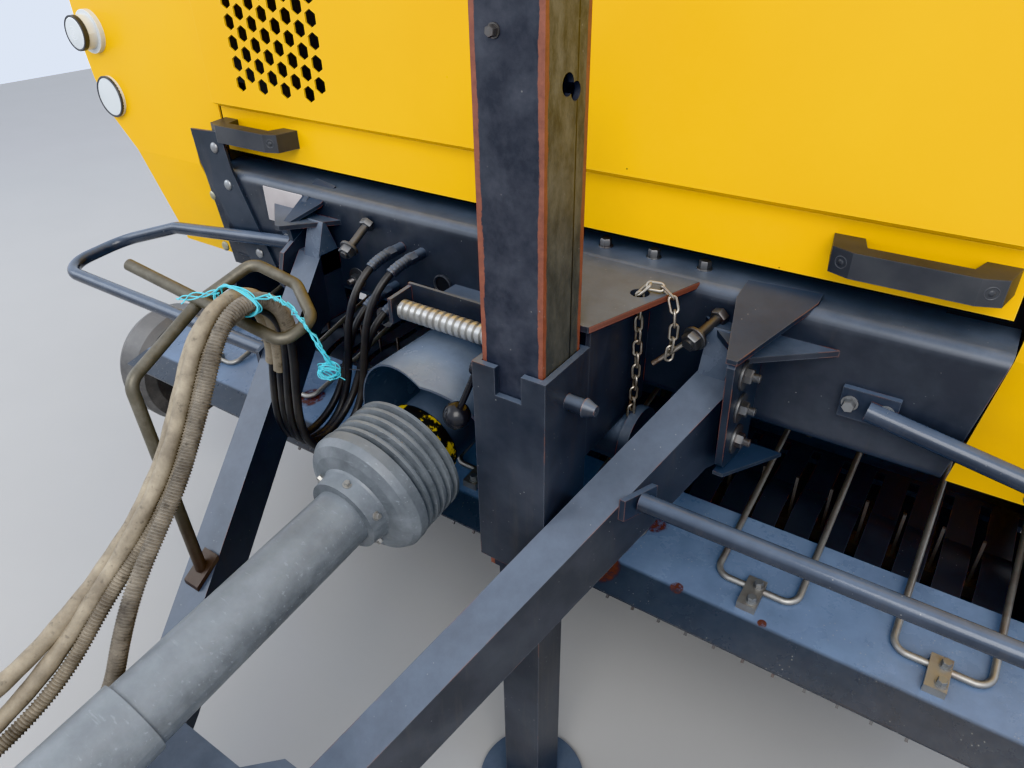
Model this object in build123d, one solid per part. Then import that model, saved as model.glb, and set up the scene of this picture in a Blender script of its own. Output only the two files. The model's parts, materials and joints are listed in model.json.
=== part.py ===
from build123d import *
from math import atan2, cos, degrees, hypot, radians, sin, sqrt, tan
import os

# Round baler, towed, fixed chamber with rollers. Millimetres, +Z up.
# -Y is the front (drawbar), +X is the machine's left side, Z = 0 is the ground.
# The origin is the middle of the footprint, so lip_y follows from the two reaches.

# Whole machine
front_reach = 1750.0          # hood lip plane to the front of the hitch ring
chamber_reach = 1360.0        # hood lip plane to the middle of the bale chamber
roller_ring_r = 735.0
roller_r = 105.0
gate_overhang = 190.0         # rollers to the back of the rear light bar
rear_reach = chamber_reach + roller_ring_r + roller_r + gate_overhang
lip_y = (front_reach - rear_reach) / 2
half_width = 1310.0           # outer face of the side panels

# Frame cross beam in front of the chamber
beam_front = lip_y - 53.0
beam_depth = 120.0
beam_top = 1140.0
beam_height = 220.0
beam_half_top = 815.0
beam_half_bottom = 782.0
beam_round = 22.0
beam_bottom = beam_top - beam_height
beam_back = beam_front + beam_depth

# Drawbar: two arms that drop and meet in a tongue
arm_width = 66.0
arm_depth = 150.0
arm_bend_x = 421.0            # inner edge of each arm at the bend
arm_bend_y = lip_y - 106.0
arm_bend_z = 1025.0           # top face at the bend
arm_drop_angle = 32.7         # slope of the arms in side view
arm_level_y = lip_y - 766.0   # where the arms turn level again
tongue_end_y = lip_y - 1560.0
tongue_half_width = 75.0
web_thickness = 12.0
ring_length = 190.0
ring_outer_r = 62.0
ring_bore_r = 25.5
ring_thickness = 46.0
arm_drop = (arm_bend_y - arm_level_y) * tan(radians(arm_drop_angle))
tongue_top = arm_bend_z - arm_drop
arm_level_x = 150.0           # inner edge of each arm where it turns level

# Parking jack
jack_x = 245.0
jack_y = lip_y - 320.0
jack_tube = 100.0
jack_wall = 8.0
jack_top = 1588.0
jack_tube_bottom = 700.0
jack_leg = 80.0
jack_foot_r = 115.0
jack_foot_thickness = 12.0
jack_stroke = 420.0
guide_gap = 0.06
sleeve_gap = 1.5
sleeve_wall = 10.0
sleeve_bottom = 726.0
sleeve_top = 1103.0
pin_r = 12.0
knob_r = 22.0

# Baling chamber
chamber_y = lip_y + chamber_reach
chamber_z = 1420.0
roller_shaft_r = 25.0
wall_inner = 635.0
wall_thickness = 10.0
wall_outer = wall_inner + wall_thickness
wall_r = 870.0
wall_top = 2284.0              # the walls are cut flat here, under the top cross tube
split_y = chamber_y + 44.0    # plane where the tailgate closes on the front walls
split_gap = 8.0
front_roller_angles = (100, 120, 140, 160, 180, 200, 250, 270)
gate_roller_angles = (290, 310, 330, 350, 10, 30, 50, 68)

# Running gear
tyre_r = 470.0
tyre_width = 500.0
rim_r = 216.0
track_half = 1020.0
axle_y = chamber_y + 90.0
axle_tube = 110.0
spindle_r = 30.0
spindle_gap = 0.05

# Pickup and feed rotor
rotor_y = lip_y + 620.0
rotor_z = 680.0
rotor_tube_r = 70.0
rotor_tip_r = 238.0
auger_r = 128.0
reel_y = lip_y + 170.0
reel_z = 440.0
reel_tip_r = 235.0
reel_bar_r = 120.0
reel_bars = 5
tine_pitch = 66.0
tine_rows = 28
tine_size = 6.0
band_rear_y = lip_y + 364.0
band_rear_z = 612.0
band_r = 178.0
band_width = 48.0
band_thickness = 3.0
pickup_plate_x = 962.0
pickup_plate = 8.0
feeder_plate_x = 980.0
feeder_plate = 8.0
gauge_r = 170.0
gauge_width = 130.0
gauge_x = 1170.0
gauge_y = lip_y - 60.0
gauge_z = 500.0
guard_half_width = 1090.0
guard_hinge_y = lip_y + 100.0
guard_hinge_z = 740.0
guard_front = (lip_y - 255.0, 617.0)
guard_bend = (lip_y - 190.0, 631.0)
guard_rear = (lip_y + 25.0, 656.0)
rod_spacing = 290.0
rod_half = 70.0
rod_count = 7
guard_rod_r = 6.0

# Covers
sheet = 4.0
hood_half_width = 800.0
hood_lip_z = 1170.0
hood_step_z = 1278.0
hood_step = 20.0
hood_face_top = 1900.0
hood_deck_z = 2360.0
hood_deck_y = lip_y + 560.0
hood_rear_y = chamber_y - 165.0
net_y = chamber_y - 1250.0      # front of the net roll's trough
hood_hinge_y = lip_y + 1280.0
hood_hinge_z = 2260.0
hood_ear_x = 702.0
hood_ear = 10.0
hole_pitch = 40.0
hole_r = 17.0
grille_columns = 8
grille_rows = 16
door_front_y = lip_y + 10.0
door_rear_y = split_y - 20.0
door_bottom_front = 1300.0
door_bottom_rear = 1010.0
door_shoulder_x = 1200.0
door_shoulder_z = 1960.0
door_hinge_x = 845.0
door_hinge_z = 2300.0
gate_hinge_y = chamber_y
gate_hinge_z = 2395.0
gate_cover_x = 1120.0

# Gearbox and drive shaft
pto_y = lip_y - 220.0
pto_z = 850.0
pto_drop_angle = 7.2
pto_bell_r = 117.0
pto_tube_r = 52.0
pto_length = 1260.0
pto_guard_start = 140.0       # rear end of the shaft's guard, from the gearbox
bell_folds = 5
bell_pitch = 18.0

# Tailgate cylinders, pinned at the chamber wall, with the rod's eye beside the tailgate's lug
cylinder_x = 728.0
cylinder_r = 35.0
rod_r = 20.0
cylinder_low_y = chamber_y - 410.0
cylinder_low_z = 1100.0
cylinder_high_y = chamber_y + 300.0
cylinder_high_z = 1950.0

# Spring beside the jack
spring_y = lip_y - 222.0
spring_z = 1041.0
spring_r = 18.0
spring_start = -90.0
spring_end = 166.0
spring_lugs = (-104.0, 180.0)
spring_pitch = 14.0

hose_r = 7.0


def block(x0, x1, y0, y1, z0, z1):
    size = (x1 - x0, y1 - y0, z1 - z0)
    middle = ((x0 + x1) / 2, (y0 + y1) / 2, (z0 + z1) / 2)
    return Pos(*middle) * Box(*size)


def side_plate(points, x0, x1):
    """Outline in (y, z), extruded between two x values."""
    face = make_face(Polyline(*points, close=True))
    return extrude(Plane.YZ.offset(x0) * face, amount=x1 - x0)


def front_plate(points, y0, y1):
    """Outline in (x, z), extruded between two y values."""
    face = make_face(Polyline(*points, close=True))
    return extrude(Plane.XZ.offset(-y0) * face, amount=y0 - y1)


def flat_plate(points, z0, z1):
    """Outline in (x, y), extruded between two z values."""
    face = make_face(Polyline(*points, close=True))
    return extrude(Plane.XY.offset(z0) * face, amount=z1 - z0)


def bar_x(y, z, r, x0, x1):
    return Pos((x0 + x1) / 2, y, z) * Rot(0, 90, 0) * Cylinder(r, x1 - x0)


def bar_z(x, y, r, z0, z1):
    return Pos(x, y, (z0 + z1) / 2) * Cylinder(r, z1 - z0)


def bar_between(start, end, r):
    path = Vector(*end) - Vector(*start)
    plane = Plane(origin=Vector(*start), z_dir=path)
    return extrude(plane * Circle(r), amount=path.length)


def bent_rod(points, bend_r, r):
    """Round bar or tube along straight runs joined by tangent arcs."""
    line = FilletPolyline(*points, radius=bend_r)
    start = Plane(origin=line @ 0, z_dir=line % 0)
    return sweep(start * Circle(r), path=line)


def on_ring(angle, r=roller_ring_r):
    """Point on the roller ring; the angle runs from the rear over the top."""
    return chamber_y + r * cos(radians(angle)), chamber_z + r * sin(radians(angle))


def joined(first, *others):
    """Fuse pieces that touch into one solid."""
    return first.fuse(*others) if others else first


def save(shape, node):
    shape.label = node
    export_step(shape, f"parts/{node}.step")


# Main frame

def main_frame():
    ends = [(-beam_half_bottom, beam_bottom), (beam_half_bottom, beam_bottom),
            (beam_half_top, beam_top), (-beam_half_top, beam_top)]
    beam = front_plate(ends, beam_front, beam_back)
    beam = fillet(beam.edges().filter_by(Axis.X).sort_by(Axis.Y)[:2], beam_round)
    rail_x = wall_outer + 45.0
    pieces = []
    for side in (-1, 1):
        # side rail from the cross beam back to the axle
        rail = side_plate([(beam_back - 2, beam_top - 20), (beam_back - 2, beam_bottom + 60),
                           (axle_y - 350, 700), (axle_y - 60, 640), (axle_y + 60, 640),
                           (axle_y + 60, 720), (axle_y - 330, 800)],
                          wall_outer if side > 0 else -rail_x, rail_x if side > 0 else -wall_outer)
        # saddle plate that sits on the axle
        x0 = side * wall_outer
        x1 = side * rail_x
        saddle = block(min(x0, x1), max(x0, x1), axle_y - 60, axle_y + 60, tyre_r + axle_tube / 2, 645)
        relief = block(*sorted((side * (wall_outer - 1), side * (wall_outer + 8))), split_y - 8, axle_y + 100, 400, 1000)
        pieces.append(joined(rail, saddle) - relief)
        # clamp cheeks that hold the drawbar arms, outside each arm
        cheek_x = side * (arm_bend_x + arm_width + 1)
        cheek = side_plate([(beam_front + 2, beam_top - 60), (beam_front + 2, beam_bottom),
                            (arm_bend_y - 30, beam_bottom), (arm_bend_y - 60, beam_bottom + 50),
                            (arm_bend_y - 40, beam_top - 110)],
                           min(cheek_x, cheek_x + side * 12), max(cheek_x, cheek_x + side * 12))
        pieces.append(cheek)
        # flat triangular gusset on top of each cheek
        gusset = flat_plate([(side * (arm_bend_x - 20), beam_front + 2), (side * 610, beam_front + 2),
                             (cheek_x + side * 12, arm_bend_y - 40), (cheek_x, arm_bend_y - 40)],
                            beam_top - 60, beam_top - 50)
        pieces.append(gusset)
    # strip beside the slanted right-hand end of the beam
    end = [(-beam_half_bottom, beam_bottom - 50), (-beam_half_bottom - 90, beam_bottom - 50),
           (-beam_half_top - 116, beam_top + 50), (-beam_half_top, beam_top + 50)]
    pieces.append(front_plate(end, beam_back - 71, beam_back - 63))
    # plate behind the jack, with the chain's hole
    plate_z = beam_top - 10
    shelf = flat_plate([(jack_x - 110, beam_front + 10), (jack_x + 136, beam_front + 10),
                        (jack_x + jack_tube / 2 + 12, jack_y + jack_tube / 2 + sleeve_gap),
                        (jack_x - 50, jack_y + jack_tube / 2 + sleeve_gap)], plate_z, plate_z + 10)
    shelf -= bar_z(jack_x + 75, beam_front - 76, 15, plate_z - 1, plate_z + 11)
    # upright plate under the shelf, from the jack's sleeve to the beam
    outer = jack_tube / 2 + sleeve_gap + sleeve_wall
    shelf_side = block(jack_x + outer - 8, jack_x + outer, jack_y + outer, beam_front + 1, 902, plate_z + 1)
    nipples = []
    for x, z in ((-237, 1066), (-183, 1066), (-262, 975), (-210, 975)):
        nipples.append(Pos(x, beam_front - 14, z) * Rot(90, 0, 0) * Cylinder(11, 32))
    # folded bracket and rod that carry the spring beside the jack
    back_plate = side_plate([(spring_y + 34, 1012), (spring_y + 34, spring_z + 34), (spring_y + 40, spring_z + 34),
                             (spring_y + 40, 1018), (beam_front + 4, 1018), (beam_front + 4, 1012)], -104, 188)
    lugs = []
    for x in spring_lugs:
        lugs.append(side_plate([(spring_y - 22, spring_z - 22), (spring_y - 22, spring_z + 26),
                                (spring_y + 40, spring_z + 30), (spring_y + 40, spring_z - 27)], x, x + 8))
    return joined(beam, shelf, shelf_side, back_plate, *lugs, *nipples, *pieces)


def latch_spring():
    """Coil spring on its rod, between the bracket and the jack's sleeve."""
    coils = int((spring_end - spring_start) / spring_pitch)
    profile = [(9, spring_start)]
    for number in range(coils):
        x = spring_start + number * spring_pitch
        profile += [(spring_r - 4, x), (spring_r, x + 2), (spring_r, x + spring_pitch - 4), (spring_r - 4, x + spring_pitch - 2)]
    profile.append((9, spring_start + coils * spring_pitch))
    face = make_face(Polyline(*profile, close=True))
    spring = revolve(Plane.XZ * face, axis=Axis.Z)
    first, last = spring_lugs[0] + 8, spring_lugs[1]
    rod = Pos(0, 0, (first + last) / 2) * Cylinder(9.5, last - first)
    return Pos(0, spring_y, spring_z) * Rot(0, 90, 0) * joined(spring, rod)


def drawbar():
    """Two arms with a sloping stretch, joined by a web that narrows into the tongue."""
    arms = []
    top = [(beam_front, arm_bend_z), (arm_bend_y, arm_bend_z), (arm_level_y, tongue_top),
           (tongue_end_y, tongue_top)]
    lean = arm_depth * tan(radians(arm_drop_angle / 2))
    under = [(tongue_end_y, tongue_top - arm_depth), (arm_level_y - lean, tongue_top - arm_depth),
             (arm_bend_y - lean, arm_bend_z - arm_depth), (beam_front, arm_bend_z - arm_depth)]
    wide = arm_bend_x + arm_width
    profile = side_plate(top + under, -wide - 20, wide + 20)
    for side in (-1, 1):
        plan = [(side * arm_bend_x, beam_front + 5), (side * wide, beam_front + 5),
                (side * wide, arm_bend_y), (side * (arm_level_x + arm_width), arm_level_y),
                (side * tongue_half_width, tongue_end_y - 5), (side * 8, tongue_end_y - 5),
                (side * 8, arm_level_y - 420), (side * arm_level_x, arm_level_y),
                (side * arm_bend_x, arm_bend_y)]
        arms.append(profile & flat_plate(plan, 0, arm_bend_z + 200))
    web_back = arm_level_y + 60
    web = flat_plate([(-arm_level_x - 30, web_back - 70), (-arm_level_x + 40, web_back - 70),
                      (-arm_level_x + 85, web_back - 115), (arm_level_x - 85, web_back - 115),
                      (arm_level_x - 40, web_back - 70), (arm_level_x + 30, web_back - 70),
                      (tongue_half_width - 20, tongue_end_y + 20), (-tongue_half_width + 20, tongue_end_y + 20)],
                     tongue_top - web_thickness, tongue_top)
    lower_web = flat_plate([(-arm_level_x - 30, arm_level_y - 120), (arm_level_x + 30, arm_level_y - 120),
                            (tongue_half_width - 20, tongue_end_y + 20),
                            (-tongue_half_width + 20, tongue_end_y + 20)],
                           tongue_top - arm_depth, tongue_top - arm_depth + web_thickness)
    end = block(-tongue_half_width, tongue_half_width, tongue_end_y - 20, tongue_end_y + 4,
                tongue_top - arm_depth - 10, tongue_top + 10)
    # arm that carries the jack's sleeve on the left arm
    sleeve_face = jack_tube / 2 + sleeve_gap + sleeve_wall
    inner_at_jack = arm_bend_x - (arm_bend_y - jack_y) / (arm_bend_y - arm_level_y) * (arm_bend_x - arm_level_x)
    stub = block(jack_x + sleeve_face, inner_at_jack + 25, jack_y - 35, jack_y + 35,
                 arm_bend_z - 290, arm_bend_z - 190)
    return joined(arms[0], arms[1], web, lower_web, end, stub)


def hitch_ring():
    y_mid = lip_y - front_reach + ring_outer_r
    z_mid = tongue_top - arm_depth / 2
    plate_y = tongue_end_y - 20
    ring = Pos(0, y_mid, z_mid) * Cylinder(ring_outer_r, ring_thickness)
    neck = block(-38, 38, y_mid + 30, plate_y - 24, z_mid - ring_thickness / 2, z_mid + ring_thickness / 2)
    flange = block(-tongue_half_width + 3, tongue_half_width - 3, plate_y - 26, plate_y,
                   z_mid - 78, z_mid + 78)
    ring = joined(ring, neck, flange)
    return ring - Pos(0, y_mid, z_mid) * Cylinder(ring_bore_r, ring_thickness + 20)


# Parking jack

def jack_sleeve():
    inner = jack_tube / 2 + sleeve_gap
    outer = inner + sleeve_wall
    height = sleeve_top - sleeve_bottom
    place = Pos(jack_x, jack_y, (sleeve_top + sleeve_bottom) / 2)
    body = place * Box(2 * outer, 2 * outer, height)
    body -= place * Box(2 * inner, 2 * inner, height + 2)
    notch = block(jack_x - 22, jack_x + 22, jack_y - outer - 1, jack_y - inner + 1, sleeve_top - 45, sleeve_top + 1)
    body -= notch
    pin_z = sleeve_top - 60
    # the locking pin is cut away inside the post, where the leg slides
    pin = bar_x(jack_y, pin_z, pin_r, jack_x - outer - 20, jack_x + outer + 30)
    pin -= bar_x(jack_y, pin_z, pin_r + 1, jack_x - jack_tube / 2 + jack_wall, jack_x + jack_tube / 2 - jack_wall)
    tip = Pos(jack_x + outer + 38, jack_y, pin_z) * Rot(0, 90, 0) * Cone(pin_r + 3, pin_r - 4, 18)
    return joined(body, pin, tip)


def jack_post():
    """Outer tube of the jack, with its pin holes and the cap on top."""
    half = jack_tube / 2
    inner = half - jack_wall
    tube = block(jack_x - half, jack_x + half, jack_y - half, jack_y + half, jack_tube_bottom, jack_top)
    tube -= block(jack_x - inner, jack_x + inner, jack_y - inner, jack_y + inner, jack_tube_bottom - 1, jack_top - 12)
    pin_z = sleeve_top - 60
    for hole_z in (pin_z, pin_z + 430):
        tube -= bar_x(jack_y, hole_z, pin_r + 1, jack_x - half - 1, jack_x + half + 1)
    # guide collars that the leg slides in
    guide = jack_leg / 2 + guide_gap
    collars = []
    for z in (jack_tube_bottom, jack_tube_bottom + 365):
        collar = block(jack_x - inner - 1, jack_x + inner + 1, jack_y - inner - 1, jack_y + inner + 1, z, z + 30)
        collars.append(collar - block(jack_x - guide, jack_x + guide, jack_y - guide, jack_y + guide, z - 1, z + 31))
    slot = Pos(jack_x + half - 5, jack_y + 18, jack_top - 125) * Rot(0, 90, 0) * Cylinder(11, 30)
    cap = block(jack_x - half - 5, jack_x + half + 5, jack_y - half - 5, jack_y + half + 5, jack_top, jack_top + 9)
    return joined(tube - slot, cap, *collars)


def jack_lever():
    """Release lever with its ball knob, on the inner face of the sleeve."""
    face = jack_x - jack_tube / 2 - sleeve_gap - sleeve_wall
    foot = Vector(face - 7, jack_y - 40, sleeve_top - 26)
    knob = Vector(face - 42, jack_y - 51, sleeve_top - 117)
    boss = bar_x(foot.Y, foot.Z, 11, face - 14, face)
    flat_r = sqrt(knob_r * knob_r - 20 * 20)
    arc = ThreePointArc((flat_r, -20), (knob_r, 0), (flat_r, 20))
    half = make_face([Line((0, -20), (flat_r, -20)), arc, Line((flat_r, 20), (0, 20)), Line((0, 20), (0, -20))])
    ball = Plane(origin=knob, z_dir=knob - foot) * revolve(Plane.XZ * half, axis=Axis.Z)
    rod = Plane(origin=foot, z_dir=knob - foot) * Pos(0, 0, 40) * Cylinder(5, 80)
    return joined(boss, rod, ball)


def jack_leg_and_foot():
    half = jack_leg / 2
    leg_top = jack_tube_bottom + 400
    leg = block(jack_x - half, jack_x + half, jack_y - half, jack_y + half, jack_foot_thickness, leg_top)
    leg -= block(jack_x - half + 6, jack_x + half - 6, jack_y - half + 6, jack_y + half - 6,
                 jack_foot_thickness + 20, leg_top + 1)
    foot = bar_z(jack_x, jack_y, jack_foot_r, 0, jack_foot_thickness)
    return joined(leg, foot)


# Baling chamber

def chamber_wall(side):
    """Front wall of the chamber: a disc cut by the tailgate plane, with its carrying frame below."""
    x0 = wall_inner if side > 0 else -wall_outer
    disc = Pos(x0 + wall_thickness / 2, chamber_y, chamber_z) * Rot(0, 90, 0) * Cylinder(wall_r, wall_thickness)
    lower = side_plate([(beam_back, beam_top + 10), (beam_back, beam_bottom),
                        (rotor_y - 120, beam_bottom - 90), (rotor_y + 180, 600), (split_y, 545),
                        (split_y, chamber_z), (chamber_y - wall_r + 40, chamber_z),
                        (beam_back + 40, chamber_z - 120)], x0, x0 + wall_thickness)
    wall = joined(disc, lower) & block(x0 - 1, x0 + wall_thickness + 1, lip_y, split_y, 0, wall_top)
    # pocket that leaves the feed rotor and its shaft free
    wall -= Pos(x0 + 5, rotor_y, rotor_z) * Rot(0, 90, 0) * Cylinder(rotor_tip_r + 8, 60)
    # stiffening rib along the open edge, and the pin of the tailgate's cylinder
    rib_x = side * (wall_outer + 20)
    rib = block(min(side * wall_outer, rib_x), max(side * wall_outer, rib_x), split_y - 12, split_y, 780, 2240)
    low_pin = bar_x(cylinder_low_y, cylinder_low_z, 15, *sorted((side * (wall_outer - 2), side * (cylinder_x + 22))))
    return joined(wall, rib, low_pin)


def ribbed_roller(angle):
    y, z = on_ring(angle)
    lobes = 10
    outline = []
    for step in range(lobes):
        for offset, r in ((-7, roller_r - 12), (-4, roller_r), (4, roller_r), (7, roller_r - 12)):
            turn = radians(step * 360 / lobes + offset)
            outline.append((y + r * cos(turn), z + r * sin(turn)))
    drum = side_plate(outline, -wall_inner + 4, wall_inner - 4)
    drum -= bar_x(y, z, roller_r - 24, -wall_inner + 14, wall_inner - 14)
    shaft = bar_x(y, z, roller_shaft_r, -wall_inner + 0.3, wall_inner - 0.3)
    return joined(drum, shaft)


def top_beam():
    """Cross tube on the chamber walls, with the pins of the hood and the tailgate."""
    front = hood_hinge_y + 26
    reach = hood_ear_x + hood_ear
    tube = block(-reach, reach, front, front + 56, wall_top, wall_top + 50)
    pieces = []
    for side in (-1, 1):
        ear = side_plate([(gate_hinge_y - 24, wall_top + 40), (gate_hinge_y + 2, wall_top + 40),
                          (gate_hinge_y + 26, gate_hinge_z - 26), (gate_hinge_y + 26, gate_hinge_z + 24),
                          (gate_hinge_y - 24, gate_hinge_z + 24)],
                         *sorted((side * wall_outer, side * (wall_outer + 12))))
        pin = bar_x(gate_hinge_y, gate_hinge_z, 20, *sorted((side * (wall_outer + 2), side * (wall_outer + 34))))
        bracket = side_plate([(front + 4, wall_top + 46), (front + 4, wall_top + 6), (hood_hinge_y + 14, hood_hinge_z - 15),
                              (hood_hinge_y - 14, hood_hinge_z - 15), (hood_hinge_y - 16, hood_hinge_z + 10),
                              (hood_hinge_y + 10, wall_top + 46)],
                             *sorted((side * (hood_ear_x - 16), side * (hood_ear_x - 6))))
        hood_pin = bar_x(hood_hinge_y, hood_hinge_z, 8, *sorted((side * (hood_ear_x - 12),
                                                                side * (hood_ear_x + hood_ear + 4))))
        pieces += [ear, pin, bracket, hood_pin]
    return joined(tube, *pieces)


def axle():
    tube = block(-track_half + 190, track_half - 190, axle_y - axle_tube / 2, axle_y + axle_tube / 2,
                 tyre_r - axle_tube / 2, tyre_r + axle_tube / 2)
    pieces = []
    for side in (-1, 1):
        pieces.append(bar_x(axle_y, tyre_r, 48, *sorted((side * (track_half - 192), side * (track_half - 120)))))
        pieces.append(bar_x(axle_y, tyre_r, spindle_r, *sorted((side * (track_half - 130), side * (track_half + 45)))))
    return joined(tube, *pieces)


def gearbox():
    body = block(-95, 95, pto_y + 60, beam_front, pto_z - 90, pto_z + 115)
    body = chamfer(body.edges().filter_by(Axis.Y), 18)
    snout = along_shaft(-50, 52, 45)
    cross = bar_x(pto_y + 110, pto_z, 45, 85, 330)
    flange = bar_x(pto_y + 110, pto_z, 62, 318, 336)
    return joined(body, snout, cross, flange) - along_shaft(-34, 24.06, 40)


def driveline_guard():
    """Curved sheet over the joint of the drive shaft."""
    inner = 140.0
    front = pto_y - 125
    back = beam_front
    ring = Pos(0, (front + back) / 2, pto_z + 4) * Rot(90, 0, 0) * (
        Cylinder(inner + sheet, back - front) - Cylinder(inner, back - front + 2))
    roof = ring & block(-300, 300, front - 1, back + 1, pto_z + 4, pto_z + 400)
    flaps = [block(*sorted((side * inner, side * (inner + sheet))), front, back, pto_z - 60, pto_z + 6)
             for side in (-1, 1)]
    # the front edge runs to a blunt tip, left of the middle
    plan = flat_plate([(-160, back + 1), (-160, front + 52), (45, front), (160, front + 66), (160, back + 1)], 0, 2000)
    # opening for the cross shaft of the gearbox
    return (joined(roof, *flaps) & plan) - bar_x(pto_y + 110, pto_z, 56, 100, 340)


def along_shaft(distance, r, length):
    """Round piece on the drive shaft's line, measured from the gearbox."""
    turn = radians(pto_drop_angle)
    start = Vector(0, pto_y + 20 - distance * cos(turn), pto_z - distance * sin(turn))
    plane = Plane(origin=start, z_dir=Vector(0, -cos(turn), -sin(turn)))
    return extrude(plane * Circle(r), amount=length)


def pto_shaft():
    stub = along_shaft(-30, 24, 90)
    yoke = along_shaft(50, 46, 110)
    inner = along_shaft(150, 27, pto_length - 190)
    front_yoke = along_shaft(pto_length - 60, 44, 90)
    return joined(stub, yoke, inner, front_yoke)


def pto_guard():
    turn = radians(pto_drop_angle)
    start = Vector(0, pto_y + 20 - pto_guard_start * cos(turn), pto_z - pto_guard_start * sin(turn))
    plane = Plane(origin=start, x_dir=(1, 0, 0), z_dir=Vector(0, -cos(turn), -sin(turn)))
    end = pto_length - pto_guard_start + 95
    # bellows behind the bell, then the rounded bell, its locking ring and the tube
    folds = []
    for number in range(bell_folds):
        along = number * bell_pitch
        folds += [(along, pto_bell_r - 12), (along + 6, pto_bell_r - 2), (along + 12, pto_bell_r - 2),
                  (along + 16, pto_bell_r - 12)]
    first = bell_folds * bell_pitch
    outline = folds + [(first, pto_bell_r - 12), (first + 4, pto_bell_r), (first + 22, pto_bell_r),
                       (first + 34, pto_bell_r - 8), (first + 42, pto_bell_r - 24), (first + 46, pto_tube_r + 20),
                       (first + 50, pto_tube_r + 18), (first + 78, pto_tube_r + 14), (first + 78, pto_tube_r),
                       (560, pto_tube_r), (560, pto_tube_r + 5), (end - 205, pto_tube_r + 5),
                       (end - 205, pto_tube_r + 12), (end - 130, pto_bell_r - 40), (end - 60, pto_bell_r - 36),
                       (end - 60, pto_bell_r - 41), (end - 132, pto_bell_r - 45), (end - 200, pto_tube_r - 6),
                       (first + 52, pto_tube_r - 6), (first + 36, pto_bell_r - 28), (first + 20, pto_bell_r - 18),
                       (0, pto_bell_r - 18)]
    face = make_face(Polyline(*[(r, along) for along, r in outline], close=True))
    return plane * revolve(Plane.XZ * face, axis=Axis.Z)


def pto_rest():
    """Hook on the tongue that carries the drive shaft when it is parked."""
    turn = radians(pto_drop_angle)
    distance = 900.0
    y = pto_y + 20 - distance * cos(turn)
    z = pto_z - distance * sin(turn) - (pto_tube_r + 5) / cos(turn) - 8 - 2.4
    arm_z = tongue_top
    points = [(74, y, z + 64), (52, y, z + 22), (18, y, z), (-18, y, z), (-51, y, z + 22), (-77, y, z + 80)]
    hook = bent_rod(points, 9, 8)
    post = bar_z(0, y, 8, arm_z + 4, z)
    foot = block(-25, 25, y - 25, y + 25, arm_z, arm_z + 10)
    return joined(hook, post, foot)


# Covers

def hood():
    """One sheet from the lip over the face and the slope to the deck, with side webs and the grille."""
    face_y = lip_y - hood_step
    outer = [(lip_y + 26, hood_lip_z), (lip_y, hood_lip_z), (lip_y, hood_step_z - 12),
             (face_y, hood_step_z), (face_y, hood_face_top), (hood_deck_y, hood_deck_z),
             (hood_rear_y, hood_deck_z)]
    inner = [(hood_rear_y, hood_deck_z - sheet), (hood_deck_y + 2, hood_deck_z - sheet),
             (face_y + sheet, hood_face_top - 2), (face_y + sheet, hood_step_z + 3),
             (lip_y + sheet, hood_step_z - 10), (lip_y + sheet, hood_lip_z + sheet),
             (lip_y + 26, hood_lip_z + sheet)]
    shell = side_plate(outer + inner, -hood_half_width, hood_half_width)
    web_outline = [(lip_y + 1, hood_lip_z + 1), (lip_y + 1, hood_step_z - 10), (face_y + 1, hood_step_z + 1), (face_y + 1, hood_face_top),
                   (hood_deck_y, hood_deck_z - 1), (hood_rear_y, hood_deck_z - 1),
                   (hood_rear_y, hood_deck_z - 40), (hood_deck_y + 20, hood_deck_z - 40),
                   (lip_y + 45, hood_face_top - 10), (lip_y + 45, hood_lip_z + 1)]
    webs = [side_plate(web_outline, *sorted((side * (hood_half_width - sheet), side * hood_half_width)))
            for side in (-1, 1)]
    ears = []
    for side in (-1, 1):
        x0, x1 = sorted((side * hood_ear_x, side * (hood_ear_x + hood_ear)))
        ear = side_plate([(hood_rear_y - 130, hood_deck_z - 2), (hood_rear_y - 2, hood_deck_z - 2),
                          (hood_hinge_y + 18, hood_hinge_z + 12), (hood_hinge_y + 18, hood_hinge_z - 12),
                          (hood_hinge_y - 18, hood_hinge_z - 16), (hood_hinge_y - 160, hood_hinge_z + 40)], x0, x1)
        ears.append(ear - bar_x(hood_hinge_y, hood_hinge_z, 8.06, x0 - 1, x1 + 1))
    holes = []
    for column in range(grille_columns):
        for row in range(grille_rows):
            x = -hood_half_width + 115 + column * hole_pitch * 0.866
            z = hood_step_z + 50 + row * hole_pitch + (column % 2) * hole_pitch / 2
            holes.append(Pos(x, z) * RegularPolygon(hole_r, 6, rotation=30))
    cutter = extrude(Plane.XZ.offset(-face_y + 5) * Sketch(children=holes), amount=-30)
    return joined(shell, *webs, *ears) - cutter


def hood_handles():
    pieces = []
    for side in (-1, 1):
        x0, x1 = sorted((side * 555, side * 790))
        y0 = lip_y
        z0 = hood_lip_z + 35
        grip = flat_plate([(x0, y0), (x0 + 10, y0 - 50), (x0 + 40, y0 - 62), (x1 - 40, y0 - 62), (x1 - 10, y0 - 50),
                           (x1, y0), (x1 - 42, y0), (x1 - 52, y0 - 34), (x0 + 52, y0 - 34), (x0 + 42, y0)], z0, z0 + 38)
        pieces.append(grip)
    return Compound(children=pieces)


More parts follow.
